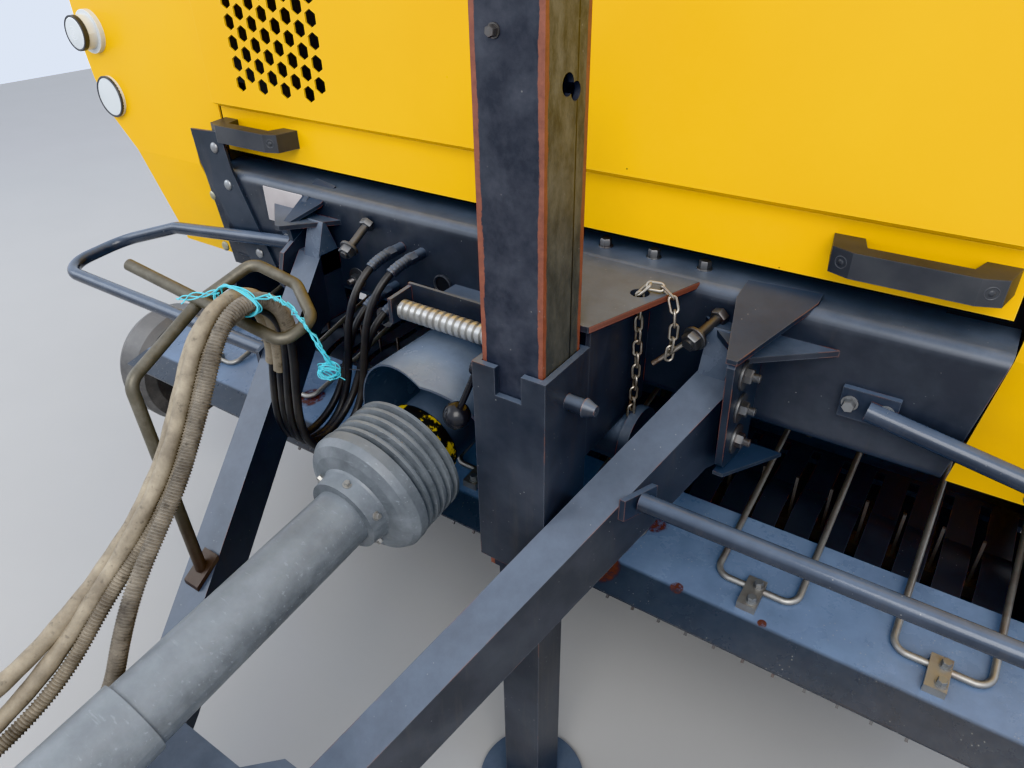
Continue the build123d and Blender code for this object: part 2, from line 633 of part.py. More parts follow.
def front_panel(side):
    """Yellow corner panel beside the hood: upright face, lower part folded back."""
    fold_z = 1113.0
    inner_low = beam_half_bottom + 12 if side > 0 else beam_half_bottom + 98
    notch_x = beam_half_top + 7 if side > 0 else beam_half_top + 121
    notch_z = hood_lip_z + 30
    upper = [(hood_half_width + 10, notch_z), (notch_x, notch_z), (notch_x - 4, fold_z), (1190, fold_z), (1265, 1190),
             (1300, 1280), (half_width, 1350), (half_width, door_shoulder_z - 60), (door_shoulder_x + 20, door_shoulder_z),
             (door_hinge_x + 20, door_hinge_z - 20), (hood_half_width + 10, door_hinge_z - 20)]
    upper = [(side * x, z) for x, z in upper]
    plate = front_plate(upper, lip_y, lip_y + sheet)
    lower = [(notch_x - 4, 0), (1190, 0), (1140, 255), (inner_low, 255)]
    lower = [(side * x, -down) for x, down in lower]
    fold_plane = Plane(origin=(0, lip_y, fold_z), x_dir=(1, 0, 0), z_dir=(0, -cos(radians(10)), -sin(radians(10))))
    flap = extrude(fold_plane * make_face(Polyline(*lower, close=True)), amount=-sheet)
    # return flange along the outer edge, and the leg that carries the panel on the chamber wall
    flange_x = sorted((side * (half_width - 30), side * (half_width - 26)))
    flange = block(*flange_x, lip_y, lip_y + 34, 1360, door_shoulder_z - 70)
    strut = block(*sorted((side * wall_outer, side * 1180)), lip_y + 70, lip_y + 100, 1500, 1530)
    stay = block(*sorted((side * wall_outer, side * (wall_outer + 30))), lip_y + 70, chamber_y - 780, 1500, 1530)
    link = block(*sorted((side * 1000, side * 1030)), lip_y + 2, lip_y + 72, 1500, 1530)
    return joined(plate, flap, flange, strut, stay, link)


def front_lamps():
    pieces = []
    for side in (-1, 1):
        base = Pos(side * 1245, lip_y - 6, 1394) * Rot(90, 0, 0) * Cylinder(50, 12)
        lens = Pos(side * 1245, lip_y - 28, 1394) * Rot(90, 0, 0) * Cone(41, 37, 34)
        reflector = Pos(side * 1235, lip_y - 5, 1242) * Rot(90, 0, 0) * Cylinder(50, 10)
        pieces += [joined(base, lens), reflector]
    return Compound(children=pieces)


def side_door(side):
    """Sheet door: upright side, sloping shoulder up to its hinge, with a wheel-arch cut."""
    outer = [(half_width, door_bottom_front), (half_width, door_shoulder_z - 60),
             (door_shoulder_x + 20, door_shoulder_z), (door_hinge_x, door_hinge_z)]
    inner = [(door_hinge_x, door_hinge_z - 2 * sheet), (door_shoulder_x + 14, door_shoulder_z - 6),
             (half_width - sheet, door_shoulder_z - 63), (half_width - sheet, door_bottom_front)]
    outline = [(side * x, z) for x, z in outer + inner]
    skin = front_plate(outline, door_front_y, door_rear_y)
    cut = side_plate([(door_front_y - 1, 800), (door_front_y - 1, door_bottom_front), (lip_y + 180, 1060),
                      (door_rear_y + 1, door_bottom_rear), (door_rear_y + 1, 800)],
                     *sorted((side * (half_width - 60), side * (half_width + 10))))
    skin -= cut
    ribs = []
    for y in (door_front_y + 32, door_rear_y - 25):
        low = door_bottom_front if y < lip_y + 100 else door_bottom_rear + 10
        points = [(side * (half_width - 2), low), (side * (half_width - 2), door_shoulder_z - 61),
                  (side * (door_shoulder_x + 17), door_shoulder_z - 3), (side * (door_hinge_x + 40), door_hinge_z - 40),
                  (side * (door_hinge_x + 25), door_hinge_z - 70), (side * (door_shoulder_x - 5), door_shoulder_z - 35),
                  (side * (half_width - 40), door_shoulder_z - 85), (side * (half_width - 40), low)]
        ribs.append(front_plate(points, y, y + 25))
    tubes = []
    for y0 in (door_front_y + 60, door_rear_y - 160):
        knuckle = Pos(side * (door_hinge_x - 7), y0 + 50, door_hinge_z - 4) * Rot(90, 0, 0) * (
            Cylinder(11, 100) - Cylinder(7.06, 102))
        tubes.append(knuckle)
        # room for the hinge brackets on both sides of the knuckle
        for y in (y0 - 36, y0 + 102):
            skin -= block(*sorted((side * (door_hinge_x - 20), side * (door_hinge_x + 14))), y, y + 34,
                          door_hinge_z - 60, door_hinge_z + 20)
    return joined(skin, *ribs, *tubes)


def roof_strip(side):
    """Narrow fixed cover between hood and door, carrying the door's hinge pins."""
    inner_x = hood_half_width + 8
    outer_x = door_hinge_x - 24
    strip = block(*sorted((side * inner_x, side * outer_x)), lip_y + sheet, door_rear_y - 10, door_hinge_z - 46,
                  door_hinge_z - 20)
    legs = [block(*sorted((side * wall_outer, side * outer_x)), y, y + 40, door_hinge_z - 60, door_hinge_z - 40)
            for y in (chamber_y - 200,)]
    pieces = []
    for y0 in (door_front_y + 60, door_rear_y - 160):
        pin = Pos(side * (door_hinge_x - 7), y0 + 50, door_hinge_z - 4) * Rot(90, 0, 0) * Cylinder(7, 160)
        pieces.append(pin)
        for y in (y0 - 28, y0 + 108):
            pieces.append(block(*sorted((side * (outer_x - 13), side * (door_hinge_x + 2))), y, y + 20,
                                door_hinge_z - 40, door_hinge_z + 5))
    return joined(strip, *legs, *pieces)


def arm_outer(y):
    """Outer face of a drawbar arm on its sloping stretch."""
    share = (arm_bend_y - y) / (arm_bend_y - arm_level_y)
    return arm_bend_x + arm_width - share * (arm_bend_x - arm_level_x)


def arm_top(y):
    """Top face of a drawbar arm on its sloping stretch."""
    return arm_bend_z - (arm_bend_y - y) * tan(radians(arm_drop_angle))


def guard_rail(side):
    """Bent tube in front of the pickup, from the drawbar arm out and back to the frame."""
    front_y = lip_y - 290
    z = 886.0
    back_x = 666 if side > 0 else 546
    points = [(side * (arm_outer(front_y) + 10), front_y, z), (side * 1180, front_y, z), (side * 1172, lip_y - 120, 905),
              (side * 980, lip_y - 78, 965), (side * back_x, beam_front - 17, 1015)]
    tube = bent_rod(points, 70, 15)
    foot = block(*sorted((side * (back_x - 40), side * (back_x + 40))), beam_front - 10, beam_front, 990, 1040)
    pad = flat_plate([(side * arm_outer(front_y - 30), front_y - 30), (side * arm_outer(front_y + 30), front_y + 30),
                      (side * (arm_outer(front_y + 30) + 10), front_y + 30),
                      (side * (arm_outer(front_y - 30) + 10), front_y - 30)], z - 24, z + 16)
    return joined(tube, foot, pad)


def hose_holder():
    """Pigtail of round bar on the right-hand arm."""
    foot_y = lip_y - 646
    points = [(-225, foot_y, arm_top(foot_y) + 7), (-266, lip_y - 640, 1050), (-296, lip_y - 480, 1107),
              (-262, lip_y - 385, 1150), (-180, lip_y - 370, 1125), (-112, lip_y - 405, 1095),
              (-122, lip_y - 462, 1078), (-436, lip_y - 500, 1149)]
    rod = bent_rod(points, 26, 10)
    foot = side_plate([(foot_y - 26, arm_top(foot_y - 26)), (foot_y + 26, arm_top(foot_y + 26)),
                       (foot_y + 26, arm_top(foot_y + 26) + 10), (foot_y - 26, arm_top(foot_y - 26) + 10)], -243, -207)
    return joined(rod, foot)


def coupler_rack():
    """Plate on a post beside the drive shaft, with a row of coupler sockets."""
    y = lip_y - 1290
    post = block(-96, -76, y - 12, y + 12, tongue_top, 780)
    plate = block(-236, -76, y - 6, y + 6, 704, 780)
    sockets = []
    for number in range(4):
        x = -122 - number * 30
        sockets.append(Pos(x, y, 742) * Rot(90, 0, 0) * Cylinder(13, 60))
    return joined(post, plate, *sockets)


def net_box():
    """Trough for the net roll in front of the chamber, on two arms."""
    x = wall_outer + 10
    outline = [(net_y, 1570), (net_y, 1900), (net_y + 6, 1900), (net_y + 6, 1576), (net_y + 290, 1576),
               (net_y + 290, 1860), (net_y + 296, 1860), (net_y + 296, 1570)]
    tray = side_plate(outline, -x, x)
    roll = bar_x(net_y + 152, 1576 + 122, 120, -620, 620)
    pieces = []
    for side in (-1, 1):
        cheek = side_plate([(net_y, 1570), (net_y, 1900), (net_y + 296, 1860), (net_y + 450, 1700),
                            (net_y + 450, 1570)], *sorted((side * wall_outer, side * x)))
        pieces.append(cheek)
        pieces.append(bar_x(net_y + 152, 1576 + 122, 18, *sorted((side * 600, side * (wall_outer + 2)))))
    return joined(tray, roll, *pieces)


# Pickup

def pickup_frame():
    outline = [(reel_y - 190, reel_z - 40), (reel_y - 120, reel_z - 150), (reel_y + 60, reel_z - 178),
               (reel_y + 262, reel_z - 178), (reel_y + 280, reel_z - 90), (rotor_y - 60, rotor_z - 60),
               (rotor_y + 20, rotor_z - 50),
               (rotor_y + 50, rotor_z), (rotor_y + 20, rotor_z + 50), (rotor_y - 60, rotor_z + 60),
               (guard_hinge_y + 60, guard_hinge_z + 40), (guard_hinge_y - 30, guard_hinge_z + 30),
               (reel_y - 160, reel_z + 130)]
    pieces = []
    for side in (-1, 1):
        x0, x1 = sorted((side * (feeder_plate_x + feeder_plate + 5), side * (feeder_plate_x + feeder_plate + 13)))
        plate = side_plate(outline, x0, x1)
        plate -= bar_x(rotor_y, rotor_z, 32.06, x0 - 1, x1 + 1)
        plate -= bar_x(reel_y, reel_z, 20.06, x0 - 1, x1 + 1)
        pin = bar_x(guard_hinge_y, guard_hinge_z, 10, *sorted((side * (feeder_plate_x + feeder_plate + 7),
                                                               side * (feeder_plate_x + feeder_plate + 44))))
        hub_x = side * (gauge_x - gauge_width / 2 - 12)
        arm = block(*sorted((side * (feeder_plate_x + feeder_plate + 6), hub_x)), gauge_y - 22, gauge_y + 22,
                    gauge_z - 22, gauge_z + 22)
        spindle = bar_x(gauge_y, gauge_z, 15, *sorted((hub_x - side * 2, side * (gauge_x + gauge_width / 2 - 30))))
        strap = side_plate([(gauge_y - 40, gauge_z - 40), (gauge_y + 40, gauge_z - 40), (reel_y - 60, reel_z + 20),
                            (reel_y - 90, reel_z + 110), (gauge_y - 40, gauge_z + 40)], x0, x1)
        pieces += [plate, pin, arm, spindle, strap]
    reach = feeder_plate_x + feeder_plate + 6
    cross = block(-reach, reach, reel_y + 216, reel_y + 256, reel_z - 162, reel_z - 122)
    return joined(cross, *pieces)


def pickup_bands():
    """Stripper bands round the reel with gaps for the tines, on one channel at the back."""
    angles = (72, 145, 215)
    low = [(reel_y + band_r * cos(radians(a)), reel_z + band_r * sin(radians(a))) for a in angles]
    inner_r = band_r - band_thickness
    high = [(reel_y + inner_r * cos(radians(a)), reel_z + inner_r * sin(radians(a))) for a in angles]
    rear = (band_rear_y, band_rear_z)
    rear_in = (band_rear_y, band_rear_z - band_thickness)
    outline = (ThreePointArc(low[2], low[1], low[0]) + Line(low[0], rear) + Line(rear, rear_in)
               + Line(rear_in, high[0]) + ThreePointArc(high[0], high[1], high[2]) + Line(high[2], low[2]))
    face = make_face(outline)
    bands = []
    start = -tine_rows / 2 * tine_pitch
    for number in range(tine_rows + 1):
        middle = start + number * tine_pitch
        bands.append(extrude(Plane.YZ.offset(middle - band_width / 2) * face, amount=band_width))
    span = feeder_plate_x + feeder_plate + 5
    channel = block(-span, span, band_rear_y - 2, band_rear_y + 14, band_rear_z - 22, band_rear_z - 1)
    return joined(channel, *bands)


def pickup_reel():
    """Five tine bars on end discs, with a tine in each gap between the bands."""
    reach = tine_rows / 2 * tine_pitch - 10
    shaft = bar_x(reel_y, reel_z, 20, -feeder_plate_x - feeder_plate - 12.7, feeder_plate_x + feeder_plate + 12.7)
    pieces = []
    for x in (-reach, -reach / 3, reach / 3, reach):
        pieces.append(bar_x(reel_y, reel_z, reel_bar_r + 14, x - 4, x + 4))
    for bar in range(reel_bars):
        turn = 18 + bar * 360 / reel_bars
        y = reel_y + reel_bar_r * cos(radians(turn))
        z = reel_z + reel_bar_r * sin(radians(turn))
        pieces.append(Pos(0, y, z) * Rot(turn, 0, 0) * Box(2 * reach + 8, 26, 26))
        for number in range(tine_rows):
            x = (number - (tine_rows - 1) / 2) * tine_pitch
            middle = (reel_bar_r + reel_tip_r) / 2
            ty = reel_y + middle * cos(radians(turn))
            tz = reel_z + middle * sin(radians(turn))
            pieces.append(Pos(x, ty, tz) * Rot(turn, 0, 0) * Box(tine_size, reel_tip_r - reel_bar_r, tine_size))
    return joined(shaft, *pieces)


def guard_top(y):
    """Top face of the guard plate behind its bend."""
    share = (y - guard_bend[0]) / (guard_rear[0] - guard_bend[0])
    return guard_bend[1] + share * (guard_rear[1] - guard_bend[1])


def crop_guard():
    """Guard plate over the front of the pickup with its two arms."""
    top = [guard_front, guard_bend, guard_rear]
    under = [(y + 1, z - 5) for y, z in (guard_rear, guard_bend, guard_front)]
    plate = side_plate(top + under, -guard_half_width, guard_half_width)
    pieces = []
    for side in (-1, 1):
        x0, x1 = sorted((side * (feeder_plate_x + feeder_plate + 20), side * (feeder_plate_x + feeder_plate + 30)))
        arm = side_plate([(lip_y - 60, 645), (lip_y + 20, 654), (guard_hinge_y + 24, guard_hinge_z),
                          (guard_hinge_y, guard_hinge_z + 24), (guard_hinge_y - 24, guard_hinge_z + 10)], x0, x1)
        pieces.append(arm - bar_x(guard_hinge_y, guard_hinge_z, 10.06, x0 - 1, x1 + 1))
    return joined(plate, *pieces)


def guard_rods():
    """U-shaped rods clamped on the guard plate; their legs run back over the bands."""
    rods = []
    bow_y = lip_y - 130
    lift = guard_rod_r + 0.3
    for number in range(rod_count):
        middle = (number - (rod_count - 1) / 2) * rod_spacing
        left = middle - rod_half
        right = middle + rod_half
        points = [(left, lip_y + 350, 752), (left, lip_y + 170, 712), (left, lip_y + 40, 678),
                  (left, bow_y, guard_top(bow_y) + lift), (right, bow_y, guard_top(bow_y) + lift),
                  (right, lip_y + 40, 678), (right, lip_y + 170, 712), (right, lip_y + 350, 752)]
        rod = bent_rod(points, 24, guard_rod_r)
        clamp_y = (bow_y - 46, bow_y + 16)
        clamp = side_plate([(clamp_y[0], guard_top(clamp_y[0])), (clamp_y[1], guard_top(clamp_y[1])),
                            (clamp_y[1], guard_top(clamp_y[1]) + 15), (clamp_y[0], guard_top(clamp_y[0]) + 15)],
                           middle - 16, middle + 16)
        rods.append(joined(rod, clamp))
    return Compound(children=rods)


def gauge_wheel(side):
    half = gauge_width / 2
    outline = [(60, half - 20), (gauge_r - 45, half), (gauge_r - 12, half - 6), (gauge_r, half - 30),
               (gauge_r, -half + 30), (gauge_r - 12, -half + 6), (gauge_r - 45, -half), (60, -half + 20)]
    hub = [(15.06, half - 28), (60, half - 28), (60, -half + 28), (15.06, -half + 28)]
    wheel = revolve(Plane.XZ * make_face(Polyline(*outline, close=True)), axis=Axis.Z)
    core = revolve(Plane.XZ * make_face(Polyline(*hub, close=True)), axis=Axis.Z)
    return Pos(side * gauge_x, gauge_y, gauge_z) * Rot(0, 90, 0) * joined(wheel, core)


def feeder_housing():
    """Two side plates and a curved floor round the feed rotor, hung from the frame."""
    outline = [(beam_back + 8, beam_bottom + 2), (beam_back + 120, beam_bottom - 40), (rotor_y - 100, rotor_z + 120),
               (rotor_y - 90, rotor_z - 40), (rotor_y - 60, rotor_z - 260), (rotor_y + 60, rotor_z - 280),
               (rotor_y + 200, rotor_z - 200), (rotor_y + 280, rotor_z + 100), (rotor_y + 100, beam_bottom + 20),
               (beam_back + 150, beam_bottom + 50), (beam_back + 8, beam_bottom + 50)]
    pieces = []
    for side in (-1, 1):
        x0, x1 = sorted((side * feeder_plate_x, side * (feeder_plate_x + feeder_plate)))
        plate = side_plate(outline, x0, x1)
        pin = bar_x(rotor_y, rotor_z, 32, *sorted((side * (feeder_plate_x + feeder_plate),
                                                  side * (feeder_plate_x + feeder_plate + 20))))
        boss = joined(plate, pin) - bar_x(rotor_y, rotor_z, 22.06, x0 - 30, x1 + 30)
        pieces.append(boss)
    inner = rotor_tip_r + 10
    ring = Pos(0, rotor_y, rotor_z) * Rot(0, 90, 0) * (
        Cylinder(inner + 5, 2 * feeder_plate_x) - Cylinder(inner, 2 * feeder_plate_x + 2))
    floor = ring & side_plate([(rotor_y, rotor_z), (rotor_y - 193, rotor_z - 230), (rotor_y - 60, rotor_z - 400),
                               (rotor_y + 300, rotor_z - 300)], -1200, 1200)
    # hangers that tie the plates to the back of the cross beam, outside the side rails
    for side in (-1, 1):
        pieces.append(block(*sorted((side * (wall_outer + 50), side * (feeder_plate_x + 1))), beam_back, beam_back + 40,
                            beam_bottom + 4, beam_bottom + 44))
    return joined(floor, *pieces)


def feed_rotor():
    reach = feeder_plate_x + feeder_plate - 1
    shaft = bar_x(rotor_y, rotor_z, 22, -reach, reach)
    drum = bar_x(rotor_y, rotor_z, rotor_tube_r, -feeder_plate_x + 4, feeder_plate_x - 4)
    stars = []
    count = 9
    pitch = 132.0
    for number in range(count):
        x = (number - (count - 1) / 2) * pitch
        outline = []
        for arm in range(3):
            base = number * 24 + arm * 120
            for offset, r in ((-35, rotor_tube_r + 4), (-4, rotor_tip_r), (6, rotor_tip_r - 14), (32, rotor_tube_r + 8)):
                turn = radians(base + offset)
                outline.append((rotor_y + r * cos(turn), rotor_z + r * sin(turn)))
        stars.append(side_plate(outline, x - 6, x + 6))
    for side in (-1, 1):
        for step in range(4):
            tilt = Rot(0, side * 18, 0)
            flight = Pos(side * (680 + step * 70), rotor_y, rotor_z) * tilt * Rot(0, 90, 0) * Cylinder(auger_r, 6)
            stars.append(flight)
    return joined(shaft, drum, *stars)


# Wheels

def tyre(side):
    half = tyre_width / 2
    profile = [(rim_r, half - 70), (rim_r + 30, half - 22), (rim_r + 110, half), (tyre_r - 60, half - 16),
               (tyre_r - 14, half - 44), (tyre_r, half - 90), (tyre_r, -half + 90), (tyre_r - 14, -half + 44),
               (tyre_r - 60, -half + 16), (rim_r + 110, -half), (rim_r + 30, -half + 22), (rim_r, -half + 70)]
    body = revolve(Plane.XZ * make_face(Polyline(*profile, close=True)), axis=Axis.Z)
    hollow = [(rim_r - 1, half - 96), (rim_r + 40, half - 56), (rim_r + 110, half - 26), (tyre_r - 72, half - 44),
              (tyre_r - 40, half - 100), (tyre_r - 40, -half + 100), (tyre_r - 72, -half + 44),
              (rim_r + 110, -half + 26), (rim_r + 40, -half + 56), (rim_r - 1, -half + 96)]
    body -= revolve(Plane.XZ * make_face(Polyline(*hollow, close=True)), axis=Axis.Z)
    return Pos(side * track_half, axle_y, tyre_r) * Rot(0, 90, 0) * body


def rim(side):
    half = tyre_width / 2
    barrel = [(rim_r, half - 70), (rim_r, -half + 70), (rim_r - 14, -half + 70), (rim_r - 14, -6),
              (62, -6), (62, -46), (spindle_r + spindle_gap, -46), (spindle_r + spindle_gap, 60), (62, 60), (62, 6),
              (rim_r - 14, 6), (rim_r - 14, half - 70)]
    body = revolve(Plane.XZ * make_face(Polyline(*barrel, close=True)), axis=Axis.Z)
    for number in range(6):
        body -= Rot(0, 0, number * 60) * Pos(150, 0, 0) * Cylinder(22, 40)
    # the disc faces outwards on both sides
    turn = Rot(0, 90, 0) if side > 0 else Rot(0, -90, 0)
    return Pos(side * track_half, axle_y, tyre_r) * turn * body


# Tailgate

def gate_frame():
    """Side walls of the rear half with hinge lugs and cylinder lugs, tied by cross tubes."""
    front_y = split_y + split_gap
    pieces = []
    for side in (-1, 1):
        x0 = wall_inner if side > 0 else -wall_outer
        disc = Pos(x0 + wall_thickness / 2, chamber_y, chamber_z) * Rot(0, 90, 0) * Cylinder(wall_r, wall_thickness)
        wall = disc & block(x0 - 1, x0 + wall_thickness + 1, front_y, front_y + 2000, 0, 3000)
        rib = block(*sorted((side * wall_outer, side * (wall_outer + 20))), front_y, front_y + 12, 780, 2090)
        lug_x = sorted((side * (wall_outer + 16), side * (wall_outer + 28)))
        lug = side_plate([(gate_hinge_y - 24, gate_hinge_z + 24), (gate_hinge_y - 24, gate_hinge_z - 24),
                          (front_y + 30, gate_hinge_z - 105), (front_y + 30, 2100), (front_y + 200, 2100),
                          (gate_hinge_y + 24, gate_hinge_z + 24)], *lug_x)
        lug -= bar_x(gate_hinge_y, gate_hinge_z, 20.06, lug_x[0] - 1, lug_x[1] + 1)
        link = block(*sorted((side * (wall_outer - 2), side * (wall_outer + 26))), front_y + 80, front_y + 150, 2110, 2190)
        eye_x = sorted((side * (wall_outer - 2), side * (cylinder_x - 26)))
        eye_boss = bar_x(cylinder_high_y, cylinder_high_z, 34, *eye_x)
        pieces += [wall, rib, lug, link, eye_boss]
    tubes = [block(-wall_outer, wall_outer, y - 30, y + 30, z - 30, z + 30)
             for y, z in ((chamber_y + 545, chamber_z + 690), (chamber_y + 815, chamber_z),
                          (chamber_y + 545, chamber_z - 690))]
    return joined(tubes[0], tubes[1], tubes[2], *pieces)


def gate_cover():
    """Rear cover: roof, rounded back and skirt, with its two side skins."""
    x = gate_cover_x
    back = lip_y + rear_reach - 30
    front = split_y + split_gap + 4
    outer = [(front + 40, 2372), (front + 300, 2340), (back - 330, 2180), (back - 60, 1780), (back, 1500),
             (back, 1000), (back - 90, 900)]
    inner = [(back - 90, 905), (back - 4, 1003), (back - 4, 1500), (back - 64, 1778), (back - 333, 2176),
             (front + 300, 2336), (front + 40, 2368)]
    shell = side_plate(outer + inner, -x, x)
    side_outline = [(front, 2300), (front + 40, 2370), (front + 300, 2338), (back - 331, 2178), (back - 62, 1779),
                    (back - 2, 1500), (back - 2, 1002), (back - 92, 902), (back - 300, 1000), (front, 1010)]
    pieces = [shell]
    for side in (-1, 1):
        pieces.append(side_plate(side_outline, *sorted((side * (x - sheet), side * x))))
        pieces.append(block(*sorted((side * (wall_outer), side * (x - 2))), chamber_y + 540, chamber_y + 570,
                            chamber_z + 600, chamber_z + 630))
        pieces.append(block(*sorted((side * (wall_outer), side * (x - 2))), chamber_y + 540, chamber_y + 570,
                            chamber_z - 300, chamber_z - 270))
    return joined(*pieces)


def rear_lamps():
    back = lip_y + rear_reach
    bar = block(-1000, 1000, back - 19, back - 8, 850, 950)
    posts = [block(*sorted((side * 600, side * 640)), back - 30, back - 18, 870, 1180) for side in (-1, 1)]
    lamps = [block(*sorted((side * 780, side * 980)), back - 9, back, 860, 940) for side in (-1, 1)]
    return joined(bar, *posts, *lamps)


# Cylinders

def cylinder_axis():
    run = Vector(0, cylinder_high_y - cylinder_low_y, cylinder_high_z - cylinder_low_z)
    return run, run.length


def barrel(side):
    run, length = cylinder_axis()
    start = Vector(side * cylinder_x, cylinder_low_y, cylinder_low_z)
    way = run.normalized()
    tube = bar_between((start + way * 20), (start + way * (length - 150)), cylinder_r)
    eye = bar_x(cylinder_low_y, cylinder_low_z, 34, *sorted((side * (cylinder_x - 20), side * (cylinder_x + 20))))
    whole = joined(tube, eye) - bar_x(cylinder_low_y, cylinder_low_z, 15.06, *sorted((side * (cylinder_x - 40),
                                                                                     side * (cylinder_x + 40))))
    return whole - bar_between((start + way * (length - 620)), (start + way * (length - 140)), rod_r + 0.05)


def rod(side):
    run, length = cylinder_axis()
    start = Vector(side * cylinder_x, cylinder_low_y, cylinder_low_z)
    way = run.normalized()
    shaft = bar_between((start + way * (length - 615)), (start + way * (length - 20)), rod_r)
    eye = bar_x(cylinder_high_y, cylinder_high_z, 32, *sorted((side * (cylinder_x - 18), side * (cylinder_x + 18))))
    return joined(shaft, eye)


# Hoses: points chosen by hand, one list for each hose

hose_routes = {
    "hose_lift": [
        (-262, lip_y - 83, 975), (-262, lip_y - 116, 975), (-266, lip_y - 149, 960),
        (-271, lip_y - 176, 932), (-277, lip_y - 194, 892), (-282, lip_y - 208, 846),
        (-285, lip_y - 232, 800), (-285, lip_y - 274, 766), (-281, lip_y - 328, 757),
        (-274, lip_y - 374, 780), (-264, lip_y - 400, 828), (-252, lip_y - 409, 886),
        (-239, lip_y - 410, 948), (-225, lip_y - 411, 1008), (-214, lip_y - 417, 1062),
        (-208, lip_y - 433, 1102), (-205, lip_y - 461, 1128), (-203, lip_y - 497, 1136),
        (-201, lip_y - 533, 1126), (-199, lip_y - 563, 1100), (-196, lip_y - 596, 1054),
        (-191, lip_y - 636, 993), (-184, lip_y - 686, 934), (-176, lip_y - 750, 884),
        (-169, lip_y - 828, 842), (-165, lip_y - 914, 806), (-172, lip_y - 998, 780),
        (-184, lip_y - 1076, 762), (-198, lip_y - 1146, 750), (-212, lip_y - 1208, 742),
        (-212, lip_y - 1260, 742),
    ],
    "hose_return": [
        (-237, lip_y - 83, 1066), (-237, lip_y - 116, 1066), (-241, lip_y - 150, 1051),
        (-247, lip_y - 179, 1023), (-254, lip_y - 198, 982), (-260, lip_y - 208, 930),
        (-264, lip_y - 212, 872), (-266, lip_y - 224, 816), (-266, lip_y - 256, 770),
        (-262, lip_y - 306, 750), (-256, lip_y - 358, 764), (-248, lip_y - 391, 808),
        (-237, lip_y - 406, 868), (-222, lip_y - 410, 934), (-207, lip_y - 411, 1002),
        (-196, lip_y - 417, 1062), (-190, lip_y - 433, 1102), (-187, lip_y - 461, 1128),
        (-185, lip_y - 497, 1136), (-183, lip_y - 533, 1126), (-181, lip_y - 563, 1100),
        (-177, lip_y - 596, 1054), (-171, lip_y - 636, 992), (-164, lip_y - 686, 931),
        (-156, lip_y - 750, 878), (-151, lip_y - 824, 828), (-149, lip_y - 908, 782),
        (-152, lip_y - 992, 750), (-160, lip_y - 1072, 734), (-170, lip_y - 1142, 731),
        (-182, lip_y - 1206, 742), (-182, lip_y - 1260, 742),
    ],
    "hose_net": [
        (-210, lip_y - 83, 975), (-210, lip_y - 116, 975), (-218, lip_y - 149, 960),
        (-226, lip_y - 176, 932), (-234, lip_y - 194, 892), (-241, lip_y - 208, 850),
        (-245, lip_y - 232, 804), (-246, lip_y - 274, 770), (-242, lip_y - 328, 757),
        (-235, lip_y - 374, 780), (-226, lip_y - 400, 828), (-215, lip_y - 409, 886),
        (-203, lip_y - 410, 948), (-189, lip_y - 411, 1008), (-178, lip_y - 417, 1062),
        (-172, lip_y - 433, 1102), (-169, lip_y - 461, 1128), (-167, lip_y - 497, 1136),
        (-165, lip_y - 533, 1126), (-162, lip_y - 563, 1100), (-157, lip_y - 596, 1054),
        (-151, lip_y - 636, 993), (-144, lip_y - 686, 934), (-137, lip_y - 750, 884),
        (-131, lip_y - 828, 842), (-128, lip_y - 912, 774), (-129, lip_y - 994, 740),
        (-135, lip_y - 1074, 724), (-144, lip_y - 1144, 726), (-152, lip_y - 1206, 742),
        (-152, lip_y - 1260, 742),
    ],
    "hose_pickup": [
        (-183, lip_y - 83, 1066), (-183, lip_y - 116, 1066), (-190, lip_y - 150, 1051),
        (-198, lip_y - 179, 1023), (-207, lip_y - 198, 982), (-215, lip_y - 208, 930),
        (-221, lip_y - 212, 872), (-224, lip_y - 224, 816), (-224, lip_y - 256, 770),
        (-221, lip_y - 306, 750), (-216, lip_y - 358, 764), (-208, lip_y - 391, 808),
        (-198, lip_y - 406, 868), (-185, lip_y - 410, 934), (-171, lip_y - 411, 1002),
        (-160, lip_y - 417, 1062), (-154, lip_y - 433, 1102), (-151, lip_y - 461, 1128),
        (-149, lip_y - 497, 1136), (-146, lip_y - 533, 1126), (-141, lip_y - 563, 1100),
        (-134, lip_y - 596, 1054), (-133, lip_y - 636, 991), (-123, lip_y - 686, 933),
        (-113, lip_y - 744, 886), (-104, lip_y - 800, 836), (-99, lip_y - 842, 786),
        (-95, lip_y - 876, 732), (-92, lip_y - 922, 690), (-91, lip_y - 986, 666),
        (-94, lip_y - 1054, 668), (-102, lip_y - 1118, 688), (-113, lip_y - 1178, 716),
        (-122, lip_y - 1224, 742), (-122, lip_y - 1260, 742),
    ],
}


def hose(points):
    vectors = [Vector(*point) for point in points]
    radii = []
    for before, corner, after in zip(vectors, vectors[1:], vectors[2:]):
        run = min((corner - before).length, (after - corner).length)
        turn = (corner - before).get_angle(after - corner)
        radii.append(0.45 * run / tan(radians(turn / 2)))
    print("hose radii", [round(r) for r in radii])
    line = FilletPolyline(*points, radius=radii)
    start = Plane(origin=line @ 0, z_dir=line % 0)
    return sweep(start * Circle(hose_r), path=line)


